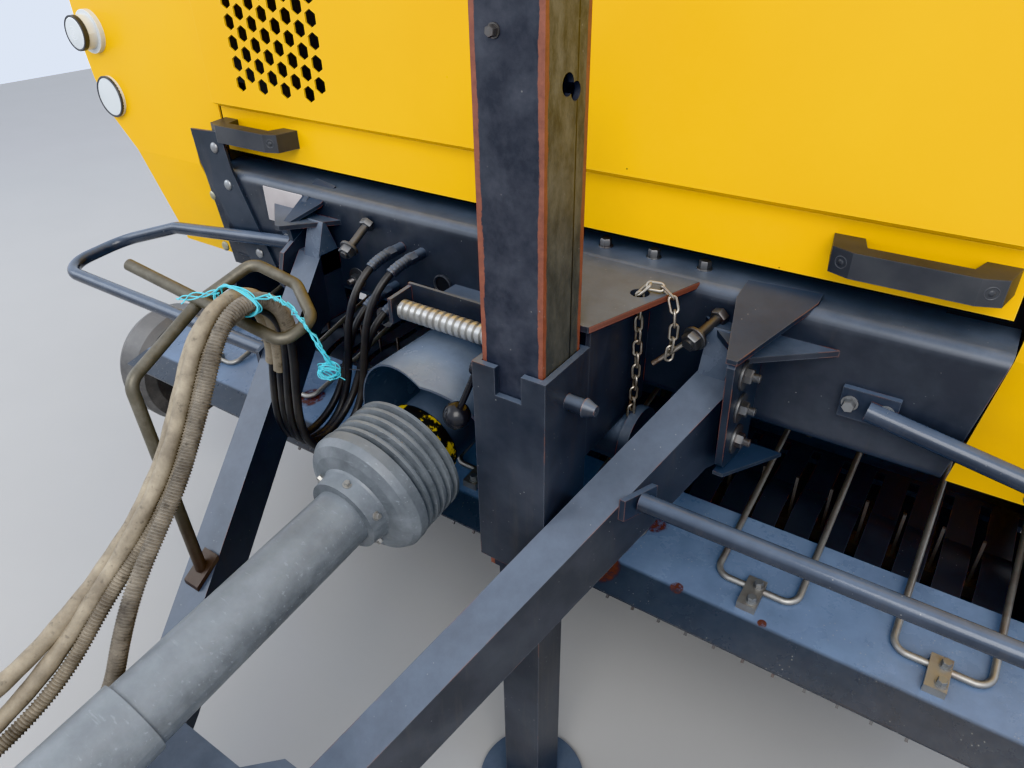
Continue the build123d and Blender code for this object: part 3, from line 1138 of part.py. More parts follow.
def main():
    os.makedirs("parts", exist_ok=True)
    save(main_frame(), "main_frame")
    save(drawbar(), "drawbar")
    save(hitch_ring(), "hitch_ring")
    save(jack_sleeve(), "jack_sleeve")
    save(jack_post(), "jack_post")
    save(jack_leg_and_foot(), "jack_leg")
    save(axle(), "axle")
    save(gearbox(), "gearbox")
    save(driveline_guard(), "driveline_guard")
    save(pto_shaft(), "pto_shaft")
    save(pto_guard(), "pto_guard")
    save(pto_rest(), "pto_rest")
    save(top_beam(), "top_beam")
    save(Compound(children=[ribbed_roller(a) for a in front_roller_angles]), "front_rollers")
    save(Compound(children=[ribbed_roller(a) for a in gate_roller_angles]), "gate_rollers")
    save(hood(), "hood")
    save(hood_handles(), "hood_handles")
    save(front_lamps(), "front_lamps")
    save(latch_spring(), "latch_spring")
    save(jack_lever(), "jack_lever")
    save(hose_holder(), "hose_holder")
    save(coupler_rack(), "coupler_rack")
    save(net_box(), "net_box")
    save(feeder_housing(), "feeder_housing")
    save(feed_rotor(), "feed_rotor")
    save(pickup_frame(), "pickup_frame")
    save(pickup_bands(), "pickup_bands")
    save(pickup_reel(), "pickup_reel")
    save(crop_guard(), "crop_guard")
    save(guard_rods(), "guard_rods")
    save(gate_frame(), "gate_frame")
    save(gate_cover(), "gate_cover")
    save(rear_lamps(), "rear_lamps")
    for name, points in hose_routes.items():
        save(hose(points), name)
    for name, side in (("left", 1), ("right", -1)):
        save(chamber_wall(side), f"chamber_wall_{name}")
        save(front_panel(side), f"front_panel_{name}")
        save(side_door(side), f"side_door_{name}")
        save(roof_strip(side), f"roof_strip_{name}")
        save(guard_rail(side), f"guard_rail_{name}")
        save(gauge_wheel(side), f"gauge_wheel_{name}")
        save(tyre(side), f"tyre_{name}")
        save(rim(side), f"rim_{name}")
        save(barrel(side), f"cylinder_barrel_{name}")
        save(rod(side), f"cylinder_rod_{name}")


main()
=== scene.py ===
import json
import math
import random

import bmesh
import bpy
from mathutils import Matrix, Vector


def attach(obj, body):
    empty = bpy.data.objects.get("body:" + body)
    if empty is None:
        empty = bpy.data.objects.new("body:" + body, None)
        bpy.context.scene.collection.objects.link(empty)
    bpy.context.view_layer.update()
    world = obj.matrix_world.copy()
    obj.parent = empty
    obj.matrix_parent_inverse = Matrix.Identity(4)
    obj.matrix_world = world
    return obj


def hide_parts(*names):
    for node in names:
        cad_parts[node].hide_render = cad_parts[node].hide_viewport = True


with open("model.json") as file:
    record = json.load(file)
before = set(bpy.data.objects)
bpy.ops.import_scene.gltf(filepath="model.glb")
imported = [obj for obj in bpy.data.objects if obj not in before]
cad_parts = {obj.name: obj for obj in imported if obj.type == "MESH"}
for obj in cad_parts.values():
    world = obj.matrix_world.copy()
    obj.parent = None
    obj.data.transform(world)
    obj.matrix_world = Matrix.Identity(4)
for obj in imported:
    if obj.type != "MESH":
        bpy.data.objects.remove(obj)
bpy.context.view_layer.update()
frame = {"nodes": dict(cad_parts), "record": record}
nodes = frame["nodes"]
lip = -0.32  # the hood's lower lip, in y; most places are counted from it


# Camera and light first

cameraLook = {
    "place": (0.747, lip - 1.10, 1.65),
    "right": (0.8292, 0.5587, -0.0152),
    "up": (-0.2925, 0.4564, 0.8402),
    "back": (0.4764, -0.6924, 0.5421),
    "lens": 26.4,
    "sensor": 36.0,
    "nearest": 0.02,
}

camData = bpy.data.cameras.new("photoCamera")
camData.lens = cameraLook["lens"]
camData.sensor_width = cameraLook["sensor"]
camData.clip_start = cameraLook["nearest"]
camera = bpy.data.objects.new("photoCamera", camData)
bpy.context.scene.collection.objects.link(camera)
looking = Matrix((cameraLook["right"], cameraLook["up"], cameraLook["back"])).transposed()
camera.matrix_world = Matrix.Translation(cameraLook["place"]) @ looking.to_4x4()
bpy.context.scene.camera = camera
# this view keeps the yellow as deep as it is
bpy.context.scene.view_settings.view_transform = "Khronos PBR Neutral"

studio = {
    "skyColor": (0.80, 0.87, 1.0),
    "skyStrength": 1.15,
    "floorColor": (0.44, 0.43, 0.415),
    "floorSize": 18.0,
    "floorDrop": 0.0005,
    # place, aim, size, power and color of each soft box
    "lights": {
        "keyLight": ((2.5, -4.5, 5.2), (0, 0, 0.8), (4.0, 4.0), 250.0, (1.0, 0.97, 0.92)),
        "fillLight": ((-4.5, -3.0, 3.5), (0, 0, 0.8), (3.5, 3.5), 90.0, (0.9, 0.95, 1.0)),
        "backLight": ((1.5, 5.0, 4.5), (0, 0, 1.0), (4.0, 3.0), 90.0, (1.0, 1.0, 1.0)),
    },
}

world = bpy.data.worlds.new("softSky")
bpy.context.scene.world = world
world.use_nodes = True
worldBackground = world.node_tree.nodes["Background"]
worldBackground.inputs["Color"].default_value = (*studio["skyColor"], 1)
worldBackground.inputs["Strength"].default_value = studio["skyStrength"]

for name, (place, aim, size, power, color) in studio["lights"].items():
    lamp = bpy.data.lights.new(name, "AREA")
    lamp.shape = "RECTANGLE"
    lamp.size, lamp.size_y = size
    lamp.energy = power
    lamp.color = color
    obj = bpy.data.objects.new(name, lamp)
    obj.location = place
    obj.rotation_euler = (Vector(aim) - Vector(place)).to_track_quat("-Z", "Y").to_euler()
    bpy.context.scene.collection.objects.link(obj)

half = studio["floorSize"] / 2
floorMesh = bpy.data.meshes.new("floor")
corners = [(-half, -half, 0), (half, -half, 0), (half, half, 0), (-half, half, 0)]
floorMesh.from_pydata(corners, [], [(0, 1, 2, 3)])
floor = bpy.data.objects.new("floor", floorMesh)
floor.location.z = -studio["floorDrop"]
bpy.context.scene.collection.objects.link(floor)
print("camera and lights are set")


# Finishes

class Finish:
    # one material, the slot it is for, and short names for its nodes

    def __init__(self, name, slot=None):
        self.material = bpy.data.materials.new(name)
        self.material.use_nodes = True
        self.tree = self.material.node_tree
        self.shader = self.tree.nodes["Principled BSDF"]
        self.where = self.add("ShaderNodeTexCoord").outputs["Object"]
        self.slot = slot

    def add(self, kind, **values):
        node = self.tree.nodes.new(kind)
        for key, value in values.items():
            setattr(node, key, value)
        return node

    def link(self, source, target):
        self.tree.links.new(source, target)

    def put(self, value, socket):
        # the value is another node's output, a color or a number
        if isinstance(value, bpy.types.NodeSocket):
            self.link(value, socket)
        else:
            socket.default_value = (*value, 1) if isinstance(value, tuple) else value

    def value(self, socket, amount):
        self.shader.inputs[socket].default_value = amount

    def noise(self, scale, detail=4.0, rough=0.55, stretch=None):
        node = self.add("ShaderNodeTexNoise")
        node.inputs["Scale"].default_value = scale
        node.inputs["Detail"].default_value = detail
        node.inputs["Roughness"].default_value = rough
        source = self.where
        if stretch:
            mapping = self.add("ShaderNodeMapping")
            mapping.inputs["Scale"].default_value = stretch
            self.link(self.where, mapping.inputs["Vector"])
            source = mapping.outputs["Vector"]
        self.link(source, node.inputs["Vector"])
        return node.outputs["Fac"]

    def cells(self, scale):
        node = self.add("ShaderNodeTexVoronoi")
        node.inputs["Scale"].default_value = scale
        self.link(self.where, node.inputs["Vector"])
        return node.outputs["Distance"]

    def ramp(self, source, *stops):
        # each stop is a place on the source and the grey level there
        node = self.add("ShaderNodeValToRGB")
        bar = node.color_ramp
        while len(bar.elements) < len(stops):
            bar.elements.new(0.5)
        for element, (place, level) in zip(bar.elements, stops):
            element.position = place
            element.color = (level, level, level, 1)
        self.link(source, node.inputs["Fac"])
        return node.outputs["Color"]

    def cloud(self, low, high, *noise):
        # 0 to 1 between two levels of a noise
        return self.ramp(self.noise(*noise), (low, 0.0), (high, 1.0))

    def specks(self, scale, edge=(0.05, 0.10), spread=(14.0, 2), start=0.52):
        # small dots that lie in a few places only
        dots = self.ramp(self.cells(scale), (edge[0], 1.0), (edge[1], 0.0))
        return self.times(dots, self.cloud(start, start + 0.08, *spread))

    def mixed(self, amount, low, high):
        node = self.add("ShaderNodeMix", data_type="RGBA")
        for value, index in ((amount, 0), (low, 6), (high, 7)):
            self.put(value, node.inputs[index])
        return node.outputs[2]

    def over(self, base, color, mask, *shares):
        # lays a color over the base, by a mask and what weakens it
        for share in shares:
            mask = self.times(mask, share)
        return self.mixed(mask, base, color)

    def sums(self, kind, first, second=0.5):
        node = self.add("ShaderNodeMath", operation=kind)
        self.put(first, node.inputs[0])
        self.put(second, node.inputs[1])
        return node.outputs[0]

    def times(self, first, second):
        return self.sums("MULTIPLY", first, second)

    def between(self, source, low, high, start=0.0, end=1.0):
        # low to high on the source becomes start to end
        node = self.add("ShaderNodeMapRange")
        for name, value in (("From Min", low), ("From Max", high), ("To Min", start), ("To Max", end)):
            node.inputs[name].default_value = value
        self.link(source, node.inputs["Value"])
        return node.outputs[0]

    def near(self, place, radius, ragged=0.35):
        # 1 inside a ragged round spot about a place of the object
        away = self.add("ShaderNodeVectorMath", operation="DISTANCE")
        away.inputs[1].default_value = place
        self.link(self.where, away.inputs[0])
        wild = self.times(self.noise(38.0, 5, 0.7), radius * ragged * 2)
        return self.between(self.sums("ADD", away.outputs["Value"], wild), radius * 1.5, radius * 1.3)

    def oneOf(self, source, axis):
        # one coordinate of a place or a normal
        split = self.add("ShaderNodeSeparateXYZ")
        self.link(source, split.inputs[0])
        return split.outputs["XYZ".index(axis)]

    def along(self, axis):
        # place along one axis of the object
        return self.oneOf(self.where, axis)

    def facing(self, axis, low, high):
        # nearer 1 on faces that look along an axis
        normal = self.add("ShaderNodeNewGeometry").outputs["Normal"]
        return self.between(self.oneOf(normal, axis), low, high)

    def upward(self):
        # faces that look up, where dust settles and where the painted sky reflection and painted top
        # highlights go
        return self.facing("Z", 0.3, 0.9)

    def edges(self, radius=0.003, low=0.003, high=0.10):
        # 1 along sharp edges, from a bevelled normal against the true one
        bevel = self.add("ShaderNodeBevel", samples=4)
        bevel.inputs["Radius"].default_value = radius
        geometry = self.add("ShaderNodeNewGeometry")
        dot = self.add("ShaderNodeVectorMath", operation="DOT_PRODUCT")
        self.link(bevel.outputs["Normal"], dot.inputs[0])
        self.link(geometry.outputs["Normal"], dot.inputs[1])
        return self.between(self.sums("SUBTRACT", 1.0, dot.outputs["Value"]), low, high)

    def color(self, source):
        self.link(source, self.shader.inputs["Base Color"])

    def roughness(self, source, low, high):
        self.link(self.between(source, 0.0, 1.0, low, high), self.shader.inputs["Roughness"])

    def bump(self, source, strength=0.2, distance=0.001):
        node = self.add("ShaderNodeBump")
        node.inputs["Strength"].default_value = strength
        node.inputs["Distance"].default_value = distance
        self.link(source, node.inputs["Height"])
        last = self.shader.inputs["Normal"]
        if last.is_linked:
            self.link(last.links[0].from_socket, node.inputs["Normal"])
        self.link(node.outputs["Normal"], last)


yellowLook = {
    "deep": (0.84, 0.450, 0.0),
    "light": (0.91, 0.520, 0.0),
    "dust": (0.62, 0.42, 0.10),
    "chip": (0.10, 0.055, 0.02),
    # lighter yellow for the edges: a painted highlight
    "edge": (0.93, 0.66, 0.16),
    "gloss": (0.27, 0.42),
    "shine": 0.36,
}


def yellowPaint():
    f = Finish("yellowPaint", "yellow")
    base = f.mixed(f.cloud(0.35, 0.70, 1.6, 3), yellowLook["deep"], yellowLook["light"])
    base = f.over(base, yellowLook["dust"], f.cloud(0.42, 0.75, 5.0, 5, 0.7), 0.10)
    base = f.over(base, yellowLook["chip"], f.specks(26.0, (0.028, 0.045), (4.0, 2)))
    # lighter yellow along the edges: a painted highlight
    base = f.over(base, yellowLook["edge"], f.edges(), 0.55)
    f.color(base)
    f.roughness(f.noise(7.0, 4), *yellowLook["gloss"])
    f.value("Specular IOR Level", yellowLook["shine"])
    f.bump(f.noise(420.0, 2), 0.05, 0.0004)
    f.bump(f.noise(2.4, 2), 0.12, 0.004)
    return f


wearAndHighlightLook = {
    "streak": (0.115, 0.100, 0.085),
    "chip": (0.34, 0.34, 0.33),
    # lighter grey-blue line along edges: a painted highlight
    "rim": (0.135, 0.145, 0.165),
    "rust": (0.24, 0.105, 0.065),
    "steelRust": (0.16, 0.07, 0.035),
}


def blackPaint(name="blackPaint", slot="black_steel", tone=(0.030, 0.033, 0.040), dustAndReflectionShare=0.85, wear=0.6,
               dustAndSkyReflection=(0.150, 0.185, 0.240), gloss=(0.22, 0.44)):
    # painted steel: dust and a painted sky reflection on top, streaks down its sides, chips, a painted
    # highlight along its edges, and rust along worn edges
    f = Finish(name, slot)
    base = f.mixed(f.cloud(0.38, 0.68, 6.0, 5, 0.65), tone, tuple(c * 1.7 + 0.006 for c in tone))
    flat = f.upward()
    # faces that look up get dust mixed with a painted reflection of the sky
    base = f.over(base, dustAndSkyReflection, flat, f.ramp(f.noise(11.0, 6, 0.7), (0.28, 0.55), (0.70, 1.0)), dustAndReflectionShare)
    streak = f.cloud(0.55, 0.80, 9.0, 5, 0.7, (3.0, 3.0, 0.35))
    base = f.over(base, wearAndHighlightLook["streak"], streak, f.sums("SUBTRACT", 1.0, flat), 0.30)
    base = f.over(base, wearAndHighlightLook["chip"], f.specks(75.0), 0.55)
    rim = f.edges()
    # a lighter line along the edges is a painted highlight
    base = f.over(base, wearAndHighlightLook["rim"], rim, 0.45)
    base = f.over(base, wearAndHighlightLook["rust"], rim, f.cloud(0.55, 0.60, 9.0, 5, 0.7), wear)
    f.color(base)
    f.roughness(f.noise(12.0, 5, 0.65), *gloss)
    f.bump(f.noise(260.0, 3), 0.08, 0.0005)
    return f


def steel(name, slot, tone, rough, rusty):
    f = Finish(name, slot)
    base = f.mixed(f.noise(18.0, 5, 0.6), tuple(c * 0.62 for c in tone), tone)
    f.color(f.over(base, wearAndHighlightLook["steelRust"], f.cloud(0.50, 0.66, 13.0, 6, 0.7), rusty))
    f.value("Metallic", 0.75)
    f.roughness(f.noise(24.0, 5, 0.6), rough - 0.12, rough + 0.14)
    f.bump(f.noise(160.0, 4, 0.6), 0.12, 0.0005)
    return f


def plastic(name, slot, tone, rough, dust, tint=(0.20, 0.18, 0.15), grain=700.0):
    f = Finish(name, slot)
    base = f.over(tone, tint, f.cloud(0.35, 0.75, 10.0, 5), dust)
    # edges get a lighter copy of the tone: a painted highlight
    f.color(f.over(base, tuple(min(1, c * 2.4 + 0.03) for c in tone), f.edges(), 0.35))
    f.roughness(f.noise(16.0, 4), rough - 0.08, rough + 0.12)
    f.bump(f.noise(grain, 2), 0.10, 0.0003)
    return f


def rubber():
    f = Finish("tyreRubber", "tyre")
    f.color(f.over((0.026, 0.026, 0.027), (0.165, 0.145, 0.115), f.cloud(0.30, 0.68, 7.0, 5, 0.65), 0.65))
    f.roughness(f.noise(20.0, 4), 0.62, 0.85)
    f.bump(f.noise(180.0, 4), 0.2, 0.0008)
    return f


def floorFinish():
    f = Finish("studioFloor")
    f.color(f.mixed(f.noise(2.2, 3), studio["floorColor"], tuple(c * 1.06 for c in studio["floorColor"])))
    f.roughness(f.noise(3.0, 2), 0.75, 0.85)
    return f


def sleeveCloth(name, tone, dark, groove):
    # dusty plastic sleeve of a hose
    f = Finish(name, "hose_rubber")
    base = f.mixed(f.cloud(0.35, 0.70, 22.0, 6, 0.7), dark, tone)
    f.color(f.over(base, tuple(c * 0.35 for c in dark), f.cloud(0.60, 0.70, 90.0, 3), 0.5))
    f.roughness(f.noise(30.0, 4), 0.55, 0.85)
    f.bump(f.noise(groove, 3), 0.25, 0.0006)
    return f


postLook = {
    "x": 0.245,
    "y": -0.640,
    "half": 0.050,
    "filmHeights": (1.50, 1.18),
    "seamFrom": -0.632,
    "seamTo": -0.604,
}


def postPaint():
    # worn tube of the jack: rust along its corners, a grey-green film and a seam on the outer face
    f = Finish("postPaint", "black_steel")
    base = f.mixed(f.cloud(0.36, 0.68, 14.0, 6, 0.7), (0.022, 0.024, 0.032), (0.060, 0.064, 0.078))
    outer = f.facing("X", 0.5, 0.9)
    mottle = f.cloud(0.36, 0.64, 42.0, 7, 0.78, (1.0, 1.0, 0.45))
    film = f.mixed(mottle, (0.050, 0.052, 0.047), (0.150, 0.146, 0.118))
    film = f.over(film, (0.055, 0.060, 0.065), f.between(f.along("Z"), *postLook["filmHeights"]), 0.55)
    base = f.mixed(outer, base, film)
    seamPlace = f.between(f.along("Y"), postLook["seamFrom"], postLook["seamTo"])
    seam = f.ramp(seamPlace, (0.44, 0.0), (0.47, 1.0), (0.53, 1.0), (0.56, 0.0))
    base = f.over(base, (0.012, 0.012, 0.012), outer, seam)
    across = f.sums("ABSOLUTE", f.sums("SUBTRACT", f.along("X"), postLook["x"]))
    along = f.sums("ABSOLUTE", f.sums("SUBTRACT", f.along("Y"), postLook["y"]))
    corner = f.between(f.sums("MINIMUM", across, along), postLook["half"] - 0.014, postLook["half"] - 0.001)
    ragged = f.sums("ADD", corner, f.times(f.noise(30.0, 6, 0.75, (1.6, 1.6, 0.30)), 1.1))
    patch = f.ramp(f.times(ragged, 0.5), (0.50, 0.0), (0.520, 1.0))
    rust = f.mixed(f.noise(70.0, 5, 0.7), (0.105, 0.042, 0.034), (0.34, 0.125, 0.075))
    base = f.mixed(patch, base, rust)
    base = f.over(base, (0.30, 0.29, 0.27), f.specks(70.0), 0.5)
    f.color(base)
    f.roughness(f.noise(22.0, 5, 0.65), 0.32, 0.62)
    f.bump(patch, 0.35, 0.0006)
    f.bump(f.noise(240.0, 3), 0.10, 0.0005)
    return f


def holderZinc():
    # dull zinc bar, dark and rusty at its foot
    f = Finish("holderZinc", "zinc")
    base = f.mixed(f.noise(24.0, 5, 0.65), (0.080, 0.072, 0.056), (0.215, 0.195, 0.150))
    base = f.over(base, (0.25, 0.23, 0.19), f.cloud(0.46, 0.66, 40.0, 5, 0.7), 0.40)
    grime = f.mixed(f.noise(60.0, 4), (0.050, 0.036, 0.030), (0.120, 0.080, 0.060))
    f.color(f.over(base, grime, f.between(f.along("Z"), 0.84, 0.70), 0.85))
    f.value("Metallic", 0.45)
    f.roughness(f.noise(30.0, 5), 0.34, 0.60)
    f.bump(f.noise(180.0, 4), 0.12, 0.0005)
    return f


guardSpots = {
    "rust": (
        ((0.323, lip - 0.210, 0.622), 0.034),
        ((0.322, lip - 0.150, 0.634), 0.030),
        ((0.463, lip - 0.189, 0.630), 0.011),
        ((0.613, lip - 0.184, 0.631), 0.007),
        ((0.365, lip - 0.068, 0.648), 0.026),
        ((-0.52, lip - 0.12, 0.640), 0.030),
    ),
    "scrape": ((0.775, lip - 0.045, 0.650), 0.018),
    "strip": (lip - 0.186, lip - 0.194),
}


def guardPaint():
    # slate guard plate over the pickup: a strong painted sky reflection on top, dark front strip, rusty
    # spots, one pale scrape
    f = blackPaint("guardPaint", tone=(0.060, 0.080, 0.115), dustAndSkyReflection=(0.215, 0.300, 0.440), gloss=(0.20, 0.36))
    base = f.shader.inputs["Base Color"].links[0].from_socket
    dark = f.mixed(f.noise(50.0, 5, 0.7), (0.016, 0.018, 0.021), (0.055, 0.058, 0.062))
    base = f.over(base, dark, f.between(f.along("Y"), *guardSpots["strip"]), 0.86)
    base = f.over(base, (0.42, 0.42, 0.40), f.specks(120.0, (0.10, 0.16), (16.0, 3), 0.50), 0.5)
    rust = f.mixed(f.noise(60.0, 5, 0.7), (0.055, 0.028, 0.022), (0.185, 0.085, 0.060))
    broken = f.ramp(f.noise(75.0, 6, 0.75), (0.40, 0.15), (0.52, 1.0))
    for place, radius in guardSpots["rust"]:
        base = f.over(base, rust, f.near(place, radius), broken)
    f.color(f.over(base, (0.42, 0.42, 0.39), f.near(*guardSpots["scrape"])))
    return f


def worn(name, slot, dark, dust, grain):
    # rubber or plastic with dry dust and fine scratches; its top faces take the dust colour, partly dust and
    # partly a painted highlight
    f = Finish(name, slot)
    base = f.over(dark, dust, f.cloud(0.32, 0.70, 8.0, 6, 0.72), 0.75)
    scratch = f.cloud(0.62, 0.68, 60.0, 4, 0.6, (0.25, 3.0, 3.0))
    base = f.over(base, tuple(min(1, c * 1.5) for c in dust), scratch, 0.30)
    # top faces lighter: dust and a painted highlight
    f.color(f.over(base, dust, f.upward(), 0.45))
    f.roughness(f.noise(18.0, 5, 0.7), 0.28, 0.52)
    f.bump(f.noise(grain, 4), 0.14, 0.0005)
    return f


def chippedRing():
    # yellow paint that has flaked off a dark ring
    f = Finish("chippedRing", "yellow")
    gone = f.cloud(0.47, 0.50, 26.0, 5, 0.7)
    yellow = f.mixed(f.noise(40.0, 3), (0.50, 0.34, 0.002), (0.72, 0.52, 0.006))
    f.color(f.mixed(gone, yellow, (0.016, 0.015, 0.014)))
    f.roughness(f.noise(30.0, 4), 0.35, 0.60)
    f.bump(gone, 0.4, 0.0006)
    return f


rearLook = {"from": 0.779, "amber": 0.900, "to": 0.981, "back": 2.0615}


def rearBar():
    # pale bar of the rear lamps, with red and amber lenses by its ends
    f = Finish("rearBar", "lamp_plastic")
    base = f.mixed(f.noise(9.0, 5), (0.24, 0.24, 0.23), (0.36, 0.36, 0.34))
    across = f.sums("ABSOLUTE", f.along("X"))
    side = f.times(f.between(across, rearLook["from"], rearLook["from"] + 0.002),
                   f.between(across, rearLook["to"] + 0.002, rearLook["to"]))
    lens = f.times(side, f.between(f.along("Y"), rearLook["back"], rearLook["back"] + 0.001))
    amber = f.between(across, rearLook["amber"], rearLook["amber"] + 0.001)
    red = f.mixed(f.times(f.noise(300.0, 2), 0.6), (0.30, 0.010, 0.008), (0.52, 0.030, 0.022))
    f.color(f.mixed(lens, base, f.mixed(amber, red, (0.62, 0.21, 0.012))))
    f.roughness(f.noise(20.0, 4), 0.22, 0.45)
    return f


finishes = {
    # one for each slot of the frame
    "yellow": yellowPaint(),
    "black_steel": blackPaint(),
    "bare_steel": steel("bareSteel", "bare_steel", (0.47, 0.455, 0.42), 0.42, 0.30),
    "zinc": steel("dullZinc", "zinc", (0.52, 0.49, 0.36), 0.38, 0.16),
    # in a black paint, the colour after the wear share is dust mixed with a painted sky reflection on top
    # faces
    "band_steel": blackPaint("bandPaint", "band_steel", (0.016, 0.016, 0.017), 0.30, 0.5,
                             (0.060, 0.070, 0.090)),
    "cylinder_paint": blackPaint("cylinderPaint", "cylinder_paint", (0.016, 0.017, 0.019), 0.35, 0.4),
    "black_plastic": plastic("blackPlastic", "black_plastic", (0.036, 0.038, 0.043), 0.38, 0.40,
                             (0.12, 0.12, 0.12)),
    "lever_plastic": plastic("leverKnob", "lever_plastic", (0.018, 0.018, 0.020), 0.24, 0.15),
    "hose_rubber": plastic("hoseRubber", "hose_rubber", (0.020, 0.020, 0.022), 0.40, 0.30, grain=240.0),
    "lamp_plastic": plastic("lampLens", "lamp_plastic", (0.62, 0.64, 0.64), 0.16, 0.18,
                            (0.5, 0.5, 0.45), 90.0),
    "tyre": rubber(),
    "rim_paint": blackPaint("rimPaint", "rim_paint", (0.42, 0.42, 0.40), 0.35, 0.8),
    # metals of single pieces
    "grey_zinc": steel("greyZinc", "zinc", (0.40, 0.41, 0.41), 0.38, 0.22),
    "dull_bolt": steel("dullBolt", "zinc", (0.215, 0.215, 0.215), 0.42, 0.35),
    "dirty_bolt": steel("dirtyBolt", "black_steel", (0.20, 0.19, 0.18), 0.45, 0.30),
    "bright_steel": steel("brightSteel", "zinc", (0.66, 0.65, 0.62), 0.34, 0.14),
    "chain": steel("chainSteel", "zinc", (0.50, 0.46, 0.40), 0.38, 0.75),
    "holder": holderZinc(),
    # paints of single pieces
    "post": postPaint(),
    "guard_plate": guardPaint(),
    "chipped_ring": chippedRing(),
    # in these black paints, the colour after the wear share is dust mixed with a painted sky reflection on
    # top faces
    "slate": blackPaint("slatePaint", "black_steel", (0.075, 0.092, 0.120), 0.85, 0.35, (0.25, 0.305, 0.385),
                        (0.18, 0.34)),
    "rail": blackPaint("railPaint", "black_steel", (0.030, 0.036, 0.048), 0.7, 0.4, (0.150, 0.195, 0.270),
                       (0.12, 0.24)),
    "gusset": blackPaint("gussetPaint", "black_steel", (0.024, 0.029, 0.038), 0.7, 0.8,
                         (0.062, 0.090, 0.140)),
    "pale_plate": plastic("palePlate", "black_steel", (0.44, 0.40, 0.39), 0.42, 0.45,
                          (0.26, 0.23, 0.21), 60.0),
    "edge_rust": plastic("edgeRust", "black_steel", (0.155, 0.062, 0.045), 0.70, 0.60,
                         (0.060, 0.040, 0.034), 200.0),
    # near-black plastic for sheets that stand in for shade
    "painted_shade_black": plastic("innerBlack", "black_steel", (0.010, 0.010, 0.011), 0.60, 0.35,
                           (0.035, 0.032, 0.028)),
    # plastics, rubber, straw and cloth of single pieces
    "rear_bar": rearBar(),
    "guard_plastic": worn("shaftGuardPlastic", "black_plastic", (0.085, 0.094, 0.102), (0.265, 0.290, 0.310),
                          220.0),
    "dusty_rubber": worn("dustyRubber", "tyre", (0.060, 0.058, 0.056), (0.190, 0.178, 0.165), 160.0),
    "hole_shade": plastic("darkDisc", "black_plastic", (0.006, 0.006, 0.007), 0.60, 0.05),
    # straw whose near-black colour is painted shade
    "straw_painted_shade": plastic("strawInPaintedShade", "black_plastic", (0.014, 0.011, 0.008), 0.85, 0.6,
                          (0.050, 0.038, 0.025), 120.0),
    "chaff": plastic("dryChaff", "black_plastic", (0.30, 0.22, 0.13), 0.75, 0.5, (0.12, 0.085, 0.05), 120.0),
    "twine": plastic("blueTwine", "hose_rubber", (0.07, 0.50, 0.66), 0.55, 0.35, (0.45, 0.62, 0.62)),
    "tan_sleeve": sleeveCloth("tanSleeve", (0.40, 0.34, 0.25), (0.20, 0.165, 0.12), 260.0),
    "thin_sleeve": sleeveCloth("thinSleeve", (0.34, 0.29, 0.22), (0.15, 0.125, 0.095), 200.0),
    "ribbed_sleeve": sleeveCloth("ribbedSleeve", (0.30, 0.26, 0.205), (0.10, 0.085, 0.068), 200.0),
}
# nodes whose first slot gets a finish of its own
nodeFinishes = {
    "jack_post": "post",
    "hose_holder": "holder",
    "pto_guard": "guard_plastic",
    "driveline_guard": "slate",
    "crop_guard": "guard_plate",
    "latch_spring": "bright_steel",
    "pickup_reel": "dirty_bolt",
    "guard_rail_left": "rail",
    "guard_rail_right": "rail",
    "gauge_wheel_left": "dusty_rubber",
    "gauge_wheel_right": "dusty_rubber",
    "rear_lamps": "rear_bar",
}

floorMesh.materials.append(floorFinish().material)
slotNames = [entry["slot"] for entry in frame["record"]["materials"]]
for obj in nodes.values():
    for surface in obj.material_slots:
        for slotName in slotNames:
            if surface.material and slotName in surface.material.name:
                surface.material = finishes[slotName].material
for name, finish in nodeFinishes.items():
    nodes[name].material_slots[0].material = finishes[finish].material
print("finishes are on the nodes")


# Mesh helpers

def frameAt(place, axis, spin=0.0):
    # matrix whose Z runs along axis
    turnTo = Vector(axis).normalized().to_track_quat("Z", "Y").to_matrix().to_4x4()
    return Matrix.Translation(place) @ turnTo @ Matrix.Rotation(spin, 4, "Z")


def around(count, ahead=0.0):
    # angles evenly spaced over a full turn
    return [math.tau * (i + ahead) / count for i in range(count)]


def polar(radius, angle, height=0.0):
    return Vector((radius * math.cos(angle), radius * math.sin(angle), height))


def resampled(points, step):
    # the same line with evenly spaced points
    points = [Vector(p) for p in points]
    result = [points[0]]
    left = step
    for start, end in zip(points, points[1:]):
        run = (end - start).length
        while run >= left:
            start = start + (end - start).normalized() * left
            run = (end - start).length
            result.append(start)
            left = step
        left -= run
    if (result[-1] - points[-1]).length > step * 0.3:
        result.append(points[-1])
    return result


